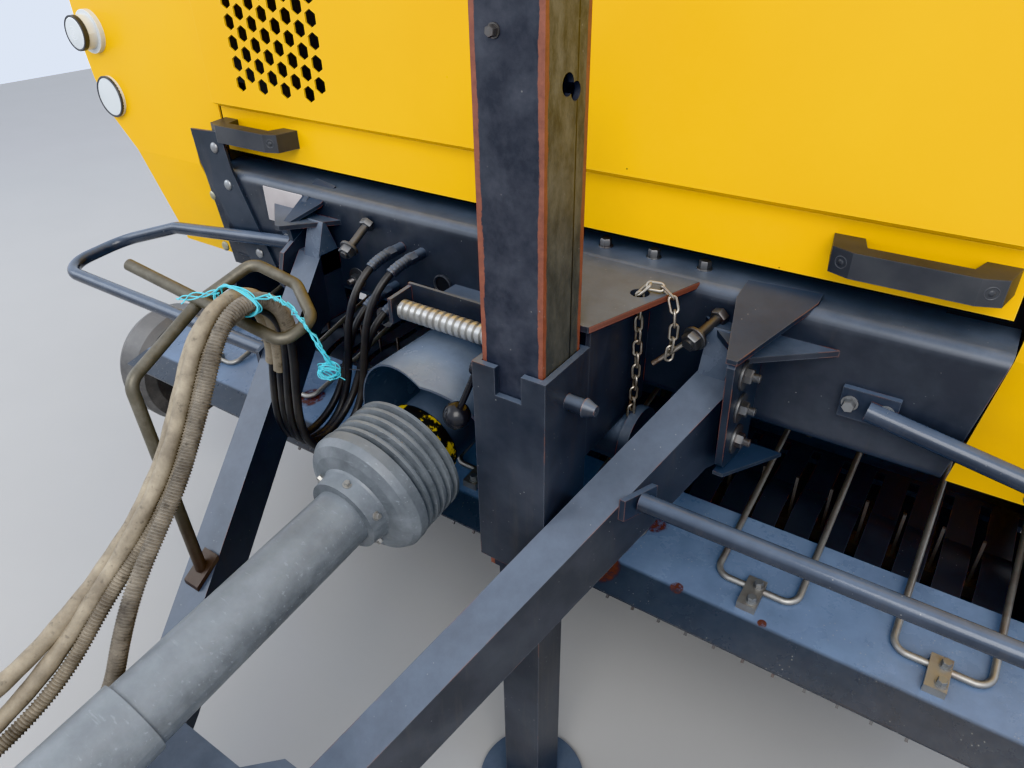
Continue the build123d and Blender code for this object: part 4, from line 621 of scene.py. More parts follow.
class Maker:
    # gathers the shapes of one piece in a bmesh

    def __init__(self):
        self.bm = bmesh.new()

    def band(self, low, high, shift=0):
        # faces between two rings of vertices
        count = len(low)
        for i in range(count):
            j = (i + 1) % count
            self.bm.faces.new((low[i], low[j], high[(j + shift) % count], high[(i + shift) % count]))

    def grid(self, rings, caps=True):
        rows = [[self.bm.verts.new(p) for p in ring] for ring in rings]
        for low, high in zip(rows, rows[1:]):
            self.band(low, high)
        if caps:
            self.bm.faces.new(rows[0][::-1])
            self.bm.faces.new(rows[-1])
        return rows

    def lathe(self, matrix, profile, sides=24):
        # profile is a list of (radius, height), from one cap to the other
        self.grid([[matrix @ polar(radius, a, height) for a in around(sides)] for radius, height in profile])

    def hoop(self, matrix, profile, sides):
        # the same with a closed profile and a hole, such as a tube or a tyre
        rings = [[matrix @ polar(radius, a, height) for radius, height in profile] for a in around(sides)]
        rows = [[self.bm.verts.new(p) for p in ring] for ring in rings]
        for row, nextRow in zip(rows, rows[1:] + rows[:1]):
            self.band(row, nextRow)

    def sweep(self, points, radius, sides=12, closedLoop=False):
        # radius is a number, or a function of the place along the line
        points = [Vector(p) for p in points]
        count = len(points)
        up = None
        rings = []
        travel = 0.0
        for i, p in enumerate(points):
            if closedLoop:
                way = (points[(i + 1) % count] - points[i - 1]).normalized()
            else:
                way = (points[min(i + 1, count - 1)] - points[max(i - 1, 0)]).normalized()
            if up is None:
                up = way.orthogonal().normalized()
            up = (up - way * up.dot(way)).normalized()
            side = way.cross(up)
            if i:
                travel += (p - points[i - 1]).length
            r = radius(travel) if callable(radius) else radius
            rings.append([p + up * (r * math.cos(a)) + side * (r * math.sin(a)) for a in around(sides)])
        rows = self.grid(rings, caps=not closedLoop)
        if closedLoop:
            # joins the last ring to the first where they face each other best
            first, last = rows[0], rows[-1]
            shift = min(range(sides), key=lambda s: (first[s].co - last[0].co).length)
            self.band(last, first, shift)

    def rod(self, start, end, radius, sides=14):
        self.sweep([start, end], radius, sides)

    def block(self, matrix, size, soft=0.0):
        made = bmesh.ops.create_cube(self.bm, size=1.0, matrix=matrix @ Matrix.Diagonal((*size, 1.0)))
        if soft:
            edges = {e for v in made["verts"] for e in v.link_edges}
            bmesh.ops.bevel(self.bm, geom=list(edges), offset=soft, segments=2, affect="EDGES", profile=0.6)

    def hexagon(self, matrix, radius, height, cone=0.86):
        # head or nut with its chamfered corners
        self.lathe(matrix, [(radius, 0.0), (radius, height * 0.82), (radius * cone, height)], 6)

    def bolt(self, place, axis, radius, washer=1.0, thread=0.0, spin=0.0, head=0.62):
        # washer and head are shares of the usual size and thread is a length; 0 leaves one out
        spot = frameAt(place, axis, spin)
        lift = 0.0
        if washer:
            wide = radius * 1.25 * washer
            lift = 0.0022
            disc = [(wide * 0.98, -0.0005), (wide, 0.0006), (wide, lift - 0.0006), (wide * 0.97, lift)]
            self.lathe(spot, disc)
        self.hexagon(spot @ Matrix.Translation((0, 0, lift)), radius, radius * 2 * head)
        if thread:
            top = lift + radius * 2 * head
            turns = []
            z = top - 0.001
            while z < top + thread:
                turns += [(radius * 0.50, z), (radius * 0.56, z + 0.0009)]
                z += 0.0018
            turns.append((radius * 0.44, z + 0.0006))
            self.lathe(spot, turns, 16)

    def carriageBolt(self, place, axis, radius):
        arc = [(radius * math.cos(t), radius * 0.45 * math.sin(t)) for t in (0.0, 0.3, 0.6, 0.9, 1.2, 1.45)]
        self.lathe(frameAt(place, axis), [(radius, -0.0005)] + arc, 20)

    def done(self, name, body, finish, slot=None, sharp=38.0):
        # finish is a key of finishes; the slot argument is not used
        mesh = bpy.data.meshes.new(name)
        bmesh.ops.recalc_face_normals(self.bm, faces=self.bm.faces[:])
        limit = math.radians(sharp)
        for edge in self.bm.edges:
            edge.smooth = not (len(edge.link_faces) == 2 and edge.calc_face_angle(0.0) > limit)
        for face in self.bm.faces:
            face.smooth = True
        self.bm.to_mesh(mesh)
        self.bm.free()
        obj = bpy.data.objects.new(name, mesh)
        bpy.context.scene.collection.objects.link(obj)
        mesh.materials.append(finishes[finish].material)
        slot = slot or finishes[finish].slot
        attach(obj, body)
        return obj


def at(x, y, z):
    # y is counted from the hood's lip
    return Vector((x, lip + y, z))


# Hoses: four hydraulic hoses, from the beam through the holder's ring to the rack

hoseLook = {
    "radius": 0.0078,
    "sleeveRadius": {"tan": 0.0120, "ribbed": 0.0118, "thin": 0.0098},
    "ribPitch": 0.0046,
    "ribHeights": (0.0011, -0.0009),
    "crimpRadius": 0.0108,
    "crimpPitch": 0.007,
    "crimpHeights": (0.0008, 0.0),
    "beamNut": (0.0128, 0.018),
    "rackNut": (0.0135, 0.016),
}
# places along each hose, with y counted from the lip
hoseRoutes = {
    "hose_lift": [
        (-0.262, -0.083, 0.975), (-0.262, -0.116, 0.975), (-0.266, -0.149, 0.960), (-0.271, -0.176, 0.932),
        (-0.277, -0.194, 0.892), (-0.282, -0.208, 0.846), (-0.285, -0.232, 0.800), (-0.285, -0.274, 0.766),
        (-0.281, -0.328, 0.757), (-0.274, -0.374, 0.780), (-0.264, -0.400, 0.828), (-0.252, -0.409, 0.886),
        (-0.239, -0.410, 0.948), (-0.225, -0.411, 1.008), (-0.214, -0.417, 1.062), (-0.208, -0.433, 1.102),
        (-0.205, -0.461, 1.128), (-0.203, -0.497, 1.136), (-0.201, -0.533, 1.126), (-0.199, -0.563, 1.100),
        (-0.196, -0.596, 1.054), (-0.191, -0.636, 0.993), (-0.184, -0.686, 0.934), (-0.176, -0.750, 0.884),
        (-0.169, -0.828, 0.842), (-0.165, -0.914, 0.806), (-0.172, -0.998, 0.780), (-0.184, -1.076, 0.762),
        (-0.198, -1.146, 0.750), (-0.212, -1.208, 0.742), (-0.212, -1.260, 0.742),
    ],
    "hose_return": [
        (-0.237, -0.083, 1.066), (-0.237, -0.116, 1.066), (-0.241, -0.150, 1.051), (-0.247, -0.179, 1.023),
        (-0.254, -0.198, 0.982), (-0.260, -0.208, 0.930), (-0.264, -0.212, 0.872), (-0.266, -0.224, 0.816),
        (-0.266, -0.256, 0.770), (-0.262, -0.306, 0.750), (-0.256, -0.358, 0.764), (-0.248, -0.391, 0.808),
        (-0.237, -0.406, 0.868), (-0.222, -0.410, 0.934), (-0.207, -0.411, 1.010), (-0.196, -0.417, 1.078),
        (-0.190, -0.433, 1.118), (-0.187, -0.461, 1.144), (-0.185, -0.497, 1.152), (-0.183, -0.533, 1.142),
        (-0.181, -0.563, 1.116), (-0.177, -0.596, 1.070), (-0.171, -0.636, 1.008), (-0.164, -0.686, 0.947),
        (-0.156, -0.750, 0.894), (-0.151, -0.824, 0.844), (-0.149, -0.908, 0.790), (-0.152, -0.992, 0.750),
        (-0.160, -1.072, 0.734), (-0.170, -1.142, 0.731), (-0.182, -1.206, 0.742), (-0.182, -1.260, 0.742),
    ],
    "hose_net": [
        (-0.210, -0.083, 0.975), (-0.210, -0.116, 0.975), (-0.218, -0.149, 0.960), (-0.226, -0.176, 0.932),
        (-0.234, -0.194, 0.892), (-0.241, -0.208, 0.850), (-0.245, -0.232, 0.804), (-0.246, -0.274, 0.770),
        (-0.242, -0.328, 0.757), (-0.235, -0.374, 0.780), (-0.226, -0.400, 0.828), (-0.215, -0.409, 0.886),
        (-0.203, -0.410, 0.948), (-0.189, -0.411, 1.008), (-0.178, -0.417, 1.061), (-0.172, -0.433, 1.100),
        (-0.169, -0.461, 1.126), (-0.167, -0.497, 1.134), (-0.165, -0.533, 1.124), (-0.162, -0.563, 1.098),
        (-0.157, -0.596, 1.052), (-0.151, -0.636, 0.991), (-0.144, -0.686, 0.932), (-0.137, -0.750, 0.882),
        (-0.131, -0.828, 0.840), (-0.128, -0.912, 0.772), (-0.129, -0.994, 0.739), (-0.135, -1.074, 0.724),
        (-0.144, -1.144, 0.726), (-0.152, -1.206, 0.742), (-0.152, -1.260, 0.742),
    ],
    "hose_pickup": [
        (-0.183, -0.083, 1.066), (-0.183, -0.116, 1.066), (-0.190, -0.150, 1.051), (-0.198, -0.179, 1.023),
        (-0.207, -0.198, 0.982), (-0.215, -0.208, 0.930), (-0.221, -0.212, 0.872), (-0.224, -0.224, 0.816),
        (-0.224, -0.256, 0.770), (-0.221, -0.306, 0.750), (-0.216, -0.358, 0.764), (-0.208, -0.391, 0.808),
        (-0.198, -0.406, 0.868), (-0.185, -0.410, 0.934), (-0.171, -0.411, 1.010), (-0.160, -0.417, 1.079),
        (-0.154, -0.433, 1.119), (-0.151, -0.461, 1.145), (-0.149, -0.497, 1.153), (-0.146, -0.533, 1.143),
        (-0.141, -0.563, 1.117), (-0.134, -0.596, 1.071), (-0.133, -0.636, 1.008), (-0.123, -0.686, 0.950),
        (-0.113, -0.744, 0.903), (-0.104, -0.800, 0.853), (-0.099, -0.842, 0.794), (-0.095, -0.876, 0.732),
        (-0.092, -0.922, 0.690), (-0.091, -0.986, 0.666), (-0.094, -1.054, 0.668), (-0.102, -1.118, 0.688),
        (-0.113, -1.178, 0.716), (-0.122, -1.224, 0.742), (-0.122, -1.260, 0.742),
    ],
}
hoseLengths = {"hose_lift": 1.724, "hose_return": 1.832, "hose_net": 1.738, "hose_pickup": 1.902}
sleeveKinds = {
    "hose_lift": ("tan", 0.62, 1.60),
    "hose_return": ("tan", 0.70, 1.70),
    "hose_net": ("thin", 0.78, 1.62),
    "hose_pickup": ("ribbed", 0.80, 1.78),
}


def lineOf(curveObj):
    # points read from the spline itself, with no bevel
    data = curveObj.data
    depth = data.bevel_depth
    data.bevel_depth = 0.0
    bpy.context.view_layer.update()
    line = bpy.data.meshes.new_from_object(curveObj.evaluated_get(bpy.context.evaluated_depsgraph_get()))
    points = [v.co.copy() for v in line.vertices]
    bpy.data.meshes.remove(line)
    data.bevel_depth = depth
    return points


def partOf(points, start, end):
    # the stretch between two distances along the line
    kept = []
    travel = 0.0
    for i, p in enumerate(points):
        if i:
            travel += (p - points[i - 1]).length
        if start <= travel <= end:
            kept.append(p)
    return kept


def ribbed(radius, pitch, share, heights):
    # radius along a ribbed line: share is how much of the pitch a rib takes
    return lambda s: radius + (heights[0] if (s / pitch) % 1.0 < share else heights[1])


def uneven(radius, seed):
    # radius along a sleeve of cloth, with a long and a short wave
    wobble = random.Random(seed)
    longWave = wobble.uniform(0, 6)
    shortWave = wobble.uniform(0, 6)
    return lambda s: radius + 0.0005 * math.sin(s * 61 + longWave) + 0.0003 * math.sin(s * 140 + shortWave)


hoseCurves = {}
for name, route in hoseRoutes.items():
    curve = bpy.data.curves.new(name + "Curve", "CURVE")
    curve.dimensions = "3D"
    spline = curve.splines.new("NURBS")
    spline.points.add(len(route) - 1)
    for point, (x, y, z) in zip(spline.points, route):
        point.co = (x, lip + y, z, 1.0)
        point.radius = hoseLook["radius"]
    spline.order_u = 3
    spline.use_endpoint_u = True
    curve.resolution_u = 10
    curve.bevel_resolution = 6
    # the true radius is on the points, since the curve's box grows by it
    curve.bevel_depth = 1.0
    curve.use_fill_caps = True
    obj = bpy.data.objects.new(name + "Hose", curve)
    bpy.context.scene.collection.objects.link(obj)
    curve.materials.append(finishes["hose_rubber"].material)
    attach(obj, "chassis")
    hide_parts(name)
    hoseCurves[name] = obj

for name, obj in hoseCurves.items():
    kind, start, end = sleeveKinds[name]
    line = lineOf(obj)
    wide = hoseLook["sleeveRadius"][kind]
    pitch = hoseLook["ribPitch"]
    if kind == "tan":
        step, radius = 0.006, uneven(wide, len(name))
    else:
        step, radius = pitch / 3, ribbed(wide, pitch, 0.6, hoseLook["ribHeights"])
    sleeve = Maker()
    sleeve.sweep(resampled(partOf(line, start, end), step), radius, 18)
    piece = sleeve.done(name + "Sleeve", "chassis", kind + "_sleeve", sharp=50.0)
    # crimped end and its union nut at the beam, and the same at the rack
    ends = Maker()
    total = hoseLengths[name]
    crimped = ribbed(hoseLook["crimpRadius"], hoseLook["crimpPitch"], 0.5, hoseLook["crimpHeights"])
    for low, high in ((0.012, 0.062), (total - 0.075, total - 0.02)):
        ends.sweep(partOf(resampled(line, 0.002), low, high), crimped, 18)
    ends.lathe(frameAt(line[0], (0, -1, 0)), [(0.0085, 0.0), (0.0085, 0.03)], 16)
    ends.hexagon(frameAt(line[0] + Vector((0, 0.004, 0)), (0, -1, 0), 0.3), *hoseLook["beamNut"], 0.9)
    ends.hexagon(frameAt(line[-1] + Vector((0, 0.020, 0)), (0, -1, 0), 0.1), *hoseLook["rackNut"], 0.9)
    fittings = ends.done(name + "Fittings", "chassis", "black_steel")
    x, y, z = hoseRoutes[name][0]
print("hoses are in place")


# Small parts of the beam and the jack

beamLook = {
    "topBolts": {"x": (0.0, 0.10, 0.188, 0.279, 0.369), "y": 0.009, "z": 1.1395, "radius": 0.0105},
    "faceBolts": {"xz": ((-0.374, 0.965), (-0.306, 0.889)), "y": -0.053, "radius": 0.0120},
    # upper and lower end of the long clamping bolts
    "clamps": (
        ((-0.316, -0.128, 1.066), (-0.320, -0.0545, 1.102)),
        ((0.411, -0.130, 1.083), (0.428, -0.0545, 1.099)),
    ),
    "clampRadius": 0.0082,
    "plateSize": (0.124, 0.0012, 0.078),
    "platePlace": (-0.573, -0.0536, 1.086),
    "stripOutline": ((-0.846, 1.224), (-0.742, 1.228), (-0.728, 1.146), (-0.636, 0.926), (-0.722, 0.920),
                     (-0.838, 1.146)),
    "stripFaces": (-0.0595, -0.0540),
    "stripBolts": ((-0.772, 1.190), (-0.752, 1.108), (-0.688, 0.954)),
    "stripBoltRadius": 0.0125,
}

bolts = Maker()
row = beamLook["topBolts"]
for x in row["x"]:
    bolts.bolt(at(x, row["y"], row["z"]), (0, 0, 1), row["radius"], spin=x * 9)
row = beamLook["faceBolts"]
for x, z in row["xz"]:
    bolts.bolt(at(x, row["y"], z), (0, -1, 0), row["radius"], washer=1.6, thread=0.010, spin=x * 31)
bolts.done("beamBolts", "chassis", "dull_bolt")

# long clamping bolts beside the upper end of each arm
clamps = Maker()
for near, far in beamLook["clamps"]:
    near, far = at(*near), at(*far)
    way = (near - far).normalized()
    clamps.hexagon(frameAt(far, way, 0.3), 0.0150, 0.013)
    clamps.rod(far, near + way * 0.012, beamLook["clampRadius"])
    clamps.hexagon(frameAt(near - way * 0.006, way, 0.6), 0.0160, 0.014)
    washer = [(0.019, 0), (0.020, 0.001), (0.020, 0.005), (0.019, 0.006)]
    clamps.lathe(frameAt(near - way * 0.012, way), washer, 20)
clamps.done("armClampBolts", "chassis", "dull_bolt")

# blank plate on the beam's right half, beyond the right arm
plate = Maker()
plate.block(Matrix.Translation(at(*beamLook["platePlace"])), beamLook["plateSize"], 0.0003)
plate.done("blankPlate", "chassis", "pale_plate")

# slanted strip over the beam's right end, with three dome bolts
strip = Maker()
strip.grid([[at(x, y, z) for x, z in beamLook["stripOutline"]] for y in beamLook["stripFaces"]])
strip.done("endStrip", "chassis", "gusset")
domes = Maker()
for x, z in beamLook["stripBolts"]:
    domes.carriageBolt(at(x, -0.0594, z), (0, -1, 0), beamLook["stripBoltRadius"])
domes.done("stripBolts", "chassis", "grey_zinc")


# Chain with its toggle, which hangs from the hole in the plate behind the jack

chainLook = {
    "length": 0.031,
    "width": 0.017,
    "wire": 0.0022,
    "front": ((0.321, -0.131, 1.118), (0.319, -0.127, 1.150), (0.333, -0.118, 1.153), (0.354, -0.112, 1.149),
              (0.371, -0.115, 1.135), (0.378, -0.121, 1.105), (0.379, -0.124, 1.075), (0.377, -0.126, 1.046)),
    "back": ((0.322, -0.131, 1.122), (0.324, -0.131, 1.06), (0.325, -0.129, 1.0), (0.323, -0.127, 0.95),
             (0.320, -0.125, 0.915)),
    "toggle": ((0.352, -0.128, 1.024), (0.396, -0.118, 1.069), (0.404, -0.112, 1.070),
               (0.408, -0.104, 1.062)),
}


def chainLink(maker, center, way, side):
    side = (side - way * side.dot(way)).normalized()
    bend = chainLook["width"] / 2 - chainLook["wire"]
    half = (chainLook["length"] - chainLook["width"]) / 2
    points = []
    for a in around(16):
        shift = half if math.cos(a) > 0 else -half
        points.append(center + way * (shift + bend * math.cos(a)) + side * (bend * math.sin(a)))
    maker.sweep(points, chainLook["wire"], 8, closedLoop=True)


def hangChain(maker, route, first, twist, seed):
    # each link is a quarter turn from the one before
    spots = resampled([at(*p) for p in route], chainLook["length"] - 4 * chainLook["wire"])
    shake = random.Random(seed)
    for i, (a, b) in enumerate(zip(spots, spots[1:])):
        way = (b - a).normalized()
        side = twist.cross(way) if (i + first) % 2 else twist
        side = side + Vector((shake.uniform(-0.25, 0.25), shake.uniform(-0.25, 0.25), 0))
        chainLink(maker, (a + b) / 2, way, side)


chain = Maker()
hangChain(chain, chainLook["front"], 0, Vector((0.8, 0.6, 0.0)), 3)
hangChain(chain, chainLook["back"], 1, Vector((0.7, 0.7, 0.0)), 8)
chain.done("pinChain", "chassis", "chain")
toggle = Maker()
ends = [at(*p) for p in chainLook["toggle"]]
toggle.rod(ends[0], ends[1], 0.0042)
toggle.sweep(ends[1:], 0.0040, 10)
toggle.done("chainToggle", "chassis", "chain")
print("beam bolts and chain are in place")


# Brackets that hold the arms' upper ends: side plate, top gusset, raised end and three big washers

bracketLook = {
    "inner": 0.4893,
    "outer": 0.5013,
    "face": -0.0535,
    "top": 1.150,
    "under": 0.875,
    "tips": {"Left": -0.196, "Right": -0.118},
    "slopes": {"Left": 0.195, "Right": 0.50},
    "wings": {"Left": 0.560, "Right": 0.512},
    "armEnd": ((-0.1130, 1.0195), (-0.0860, 1.0930), (-0.0790, 1.0900), (-0.0540, 1.0220), (-0.0540, 0.9800),
               (-0.1100, 0.9800)),
    "armWide": (0.4210, 0.4650),
    "gussetThick": 0.008,
    "footThick": 0.007,
    "washer": 0.024,
    "bolts": ((-0.100, 1.062), (-0.094, 1.000), (-0.088, 0.938)),
    "boltRadius": 0.0125,
}


def prism(maker, outline, low, high):
    # outline of (y, z) points between two x values
    maker.grid([[at(x, y, z) for y, z in outline] for x in (low, high)])


def bracket(side, name):
    look = bracketLook
    inner, outer, face, top, under = (look[key] for key in ("inner", "outer", "face", "top", "under"))
    tip, slope, wing = (look[key][name] for key in ("tips", "slopes", "wings"))
    plateTop = top + tip * slope
    plates = Maker()
    sidePlate = [(face, 1.126), (tip + 0.006, plateTop - 0.008), (tip, plateTop - 0.016),
                 (tip + 0.018, 0.915), (tip + 0.026, 0.905), (face, under)]
    prism(plates, sidePlate, *sorted((side * inner, side * outer)))
    # the gusset slopes down from the beam's top to the tip of the side plate
    gusset = [(0.448, -0.012), (wing, -0.004), (wing, -0.030), (outer + 0.002, tip - 0.002),
              (inner - 0.002, tip - 0.002), (0.448, -0.060)]
    # small plate under the side plate
    foot = [(inner - 0.002, face), (wing, face), (outer + 0.002, tip + 0.022), (inner - 0.002, tip + 0.022)]
    for outline, level, fall, thick in ((gusset, top, slope, look["gussetThick"]),
                                        (foot, under, -0.12, look["footThick"])):
        plates.grid([[at(side * x, y, level + y * fall - drop) for x, y in outline] for drop in (0.0, thick)])
    plates.done("armBracket" + name, "chassis", "gusset")
    end = Maker()
    prism(end, look["armEnd"], *sorted(side * x for x in look["armWide"]))
    end.done("armEnd" + name, "chassis", "slate")
    nuts = Maker()
    wide = look["washer"]
    outward = Vector((side, 0, 0))
    for y, z in look["bolts"]:
        # on the right the row stands nearer the beam, since its plate is shorter
        spot = at(side * outer, (y - 0.045) * tip / look["tips"]["Left"], z)
        washer = [(wide, -0.0005), (wide + 0.0006, 0.001), (wide, 0.0040), (wide * 0.55, 0.0042)]
        nuts.lathe(frameAt(spot, outward), washer, 28)
        nuts.bolt(spot + outward * 0.0040, outward, look["boltRadius"], washer=0, thread=0.008, spin=z * 40,
                  head=0.42)
    nuts.done("bracketNuts" + name, "chassis", "dull_bolt")


bracket(1, "Left")
bracket(-1, "Right")

# rimmed cable hole in the beam's face
grommetLook = {"place": (-0.135, -0.0532, 1.009), "hole": 0.0178}
spot = frameAt(at(*grommetLook["place"]), (0, -1, 0))
grommet = Maker()
grommet.lathe(spot, [(0.0175, 0.0002), (0.0175, 0.0028), (0.0195, 0.0052), (0.0222, 0.0040),
                     (0.0228, 0.0002)], 30)
grommet.done("beamGrommet", "chassis", "black_plastic")
# a near-black disc in the hole stands in for its shade
hollow = Maker()
hollow.lathe(spot, [(grommetLook["hole"], 0.0002), (grommetLook["hole"], 0.0009), (0.0010, 0.0010)], 30)
hollow.done("grommetHollow", "chassis", "hole_shade")
print("arm brackets are in place")


# Round the reel: matted straw on its core, dark as in the photograph, and the trough behind it; both are
# near-black as painted shade inside the pickup

reelLook = {
    "center": (0.170, 0.440),
    "strawRadius": 0.112,
    "strawHalf": 0.86,
    "strawRings": 86,
    "strawSides": 40,
    "troughRadius": 0.249,
    "troughThick": 0.0015,
    "troughHalf": 0.990,
    "troughFrom": -40,
    "troughTo": 28,
    "troughSteps": 18,
}
reelY, reelZ = reelLook["center"]

straw = Maker()
shake = random.Random(31)
rings = []
lastRing = reelLook["strawRings"] - 1
for i in range(lastRing + 1):
    x = -reelLook["strawHalf"] + 2 * reelLook["strawHalf"] * i / lastRing
    ring = []
    for a in around(reelLook["strawSides"]):
        r = reelLook["strawRadius"] * (0.90 + 0.10 * shake.random() ** 2 + 0.03 * math.sin(x * 21 + a * 2))
        if i in (0, lastRing):
            r *= 0.8
        ring.append(at(x, reelY + r * math.cos(a), reelZ + r * math.sin(a)))
    rings.append(ring)
straw.grid(rings)
straw.done("woundStraw", "reel", "straw_painted_shade", sharp=60.0)

# the trough stays outside the circle of the tines; near-black, it stands in for shade inside the pickup
trough = Maker()
arcs = []
for radius in (reelLook["troughRadius"], reelLook["troughRadius"] - reelLook["troughThick"]):
    arc = []
    for i in range(reelLook["troughSteps"] + 1):
        share = (reelLook["troughTo"] - reelLook["troughFrom"]) * i / reelLook["troughSteps"]
        a = math.radians(reelLook["troughFrom"] + share)
        arc.append((reelY + radius * math.cos(a), reelZ + radius * math.sin(a)))
    arcs.append(arc)
prism(trough, arcs[0] + arcs[1][::-1], -reelLook["troughHalf"], reelLook["troughHalf"])
trough.done("reelTrough", "pickup", "painted_shade_black")

# near-black sheets that stand in for shade: place, size and rounding of each block
sheetLook = {
    # before the upper rollers, with three ribs; a near-black sheet of painted shade
    "chamberApron": (
        ((0, 0.096, 1.355), (1.266, 0.003, 0.410), 0.0008),
        ((-0.5, 0.101, 1.355), (0.030, 0.008, 0.405), 0.001),
        ((0.0, 0.101, 1.355), (0.030, 0.008, 0.405), 0.001),
        ((0.5, 0.101, 1.355), (0.030, 0.008, 0.405), 0.001),
    ),
    # behind the side doors' grilles, near-black as painted shade
    "sideScreens": (
        ((-0.925, 0.290, 1.320), (0.550, 0.003, 0.600), 0.0008),
        ((-0.805, 0.048, 1.180), (0.170, 0.003, 0.260), 0.0008),
        ((0.925, 0.290, 1.320), (0.550, 0.003, 0.600), 0.0008),
        ((0.805, 0.048, 1.180), (0.170, 0.003, 0.260), 0.0008),
    ),
}
for name, blocks in sheetLook.items():
    sheet = Maker()
    for place, size, soft in blocks:
        sheet.block(Matrix.Translation(at(*place)), size, soft)
    sheet.done(name, "chassis", "painted_shade_black")

# rusty cut edge of the plate behind the jack
edgeLook = {"from": (0.3820, -0.0440), "to": (0.3080, -0.2670), "z": 1.135, "tall": 0.0094, "thick": 0.0010}
edge = Maker()
start, stop = (at(*edgeLook[k], edgeLook["z"]) for k in ("from", "to"))
along = stop - start
turnTo = Matrix.Translation((start + stop) / 2) @ Matrix.Rotation(math.atan2(along.y, along.x), 4, "Z")
edge.block(turnTo, (along.length, edgeLook["thick"], edgeLook["tall"]), 0.0003)
edge.done("shelfEdge", "chassis", "edge_rust")
print("straw and dark sheets are in place")


# Tyres: the plain CAD tyre is replaced by one with a block tread

tyreLook = {
    "center": (1.02, 1.45, 0.47),
    "rimRadius": 0.216,
    "outerRadius": 0.470,
    "width": 0.500,
    "treadDepth": 0.017,
    "shoulder": 0.205,
    "sides": 96,
    "blocks": 34,
    "blockShare": 0.66,
    # inner and outer end of each row of blocks, and its lean
    "rows": ((-0.246, -0.150, -0.20), (-0.138, -0.052, 0.22), (-0.040, 0.040, -0.22), (0.052, 0.138, 0.22),
             (0.150, 0.246, -0.20)),
    "nuts": 8,
    "nutCircle": 0.105,
    "nutRadius": 0.014,
    "discFace": 0.0065,
    "capFace": 0.059,
}


def treadCut(wheel, middle, h, foot, top):
    # four corners of a tread block at one place across the tyre
    wide = math.tau / tyreLook["blocks"] * tyreLook["blockShare"]
    corners = ((-0.5, foot), (0.5, foot), (0.46, top), (-0.46, top))
    return [wheel @ polar(r, middle + wide * share, h) for share, r in corners]


def dressTyre(name, side):
    look = tyreLook
    x, y, z = look["center"]
    wheel = Matrix.Translation(at(side * x, y, z)) @ Matrix.Rotation(math.pi / 2, 4, "Y")
    half = look["width"] / 2
    low = look["outerRadius"] - look["treadDepth"]
    top = look["outerRadius"] - 0.0004
    bead = look["rimRadius"] + 0.001
    # radius and distance from the side wall, from the bead up to the tread
    wall = [(bead, 0.072), (bead + 0.012, 0.048), (bead + 0.030, 0.026), (bead + 0.060, 0.008),
            (bead + 0.075, 0.005), (bead + 0.080, 0.001), (bead + 0.112, 0.0015), (bead + 0.150, 0.006),
            (low - 0.045, 0.016), (low - 0.020, 0.028), (low - 0.004, 0.055), (low, 0.095)]
    outside = [(r, depth - half) for r, depth in wall] + [(r, half - depth) for r, depth in wall[::-1]]
    inside = [(bead, half - 0.080), (bead + 0.02, half - 0.075), (bead + 0.02, 0.075 - half),
              (bead, 0.080 - half)]
    tyre = Maker()
    tyre.hoop(wheel, outside + inside, look["sides"])
    # blocks of the tread: five rows, staggered, the outer ones reach down the shoulder
    pitch = math.tau / look["blocks"]
    for row, (near, far, lean) in enumerate(look["rows"]):
        for i in range(look["blocks"]):
            middle = pitch * (i + 0.5 * (row % 2))
            cuts = []
            for h, skew in ((near, -0.5), (far, 0.5)):
                if abs(h) > look["shoulder"]:
                    h, foot, head = h * 0.995, low - 0.060, top - 0.046
                else:
                    foot, head = low - 0.008, top
                cuts.append(treadCut(wheel, middle + lean * pitch * skew, h, foot, head))
            if max(abs(near), abs(far)) > look["shoulder"]:
                # a middle cut keeps the outer blocks full up to the shoulder
                bend = math.copysign(look["shoulder"], near)
                cuts.insert(1, treadCut(wheel, middle, bend, low - 0.020, top - 0.012))
            tyre.grid(cuts)
    obj = tyre.done("treadedTyre" + name, "wheel_" + name.lower(), "tyre", sharp=32.0)
    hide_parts("tyre_" + name.lower())
    # wheel nuts and the hub's cap
    nuts = Maker()
    outward = (side, 0, 0)
    for a in around(look["nuts"]):
        disc = at(side * (x + look["discFace"]), y, z)
        spot = disc + Vector((0, math.cos(a), math.sin(a))) * look["nutCircle"]
        nuts.bolt(spot, outward, look["nutRadius"], thread=0.010, spin=a)
    cap = [(0.050, -0.002), (0.050, 0.010), (0.044, 0.016), (0.030, 0.019), (0.006, 0.020)]
    nuts.lathe(frameAt(at(side * (x + look["capFace"]), y, z), outward), cap, 28)
    nuts.done("wheelNuts" + name, "wheel_" + name.lower(), "bare_steel")


dressTyre("Left", 1)
dressTyre("Right", -1)
print("tyres have their tread")


# Twine tied round the hoses by the holder, with its frayed end

twineLook = {
    "knot": (-0.165, -0.487, 1.150),
    "strand": 0.0011,
    "loops": 5,
    "tails": 5,
    "curls": 9,
    "whiskers": 3,
}
twine = Maker()
knot = at(*twineLook["knot"])
shake = random.Random(14)
for loop in range(twineLook["loops"]):
    wide = 0.044 + shake.uniform(-0.003, 0.004)
    tall = 0.022 + shake.uniform(-0.002, 0.003)
    lean = shake.uniform(-0.010, 0.010)
    points = []
    for a in around(40):
        y = lean * math.cos(a) + 0.004 * math.sin(2 * a + loop)
        points.append(knot + Vector((-0.012 + wide * math.cos(a), y, tall * math.sin(a) - 0.004)))
    twine.sweep(points, twineLook["strand"], 6, closedLoop=True)
# tails that hang from the knot
for strand in range(twineLook["tails"]):
    points = [knot + Vector((0.030, 0.0, 0.010))]
    for i in range(18):
        t = i / 17
        goal = knot + Vector((0.035 + 0.055 * t, 0.02 + 0.05 * t, 0.006 - 0.13 * t * t))
        stray = Vector((shake.uniform(-1, 1), shake.uniform(-1, 1), shake.uniform(-1, 1)))
        points.append(goal + stray * 0.0045)
    twine.sweep(points, twineLook["strand"], 6)
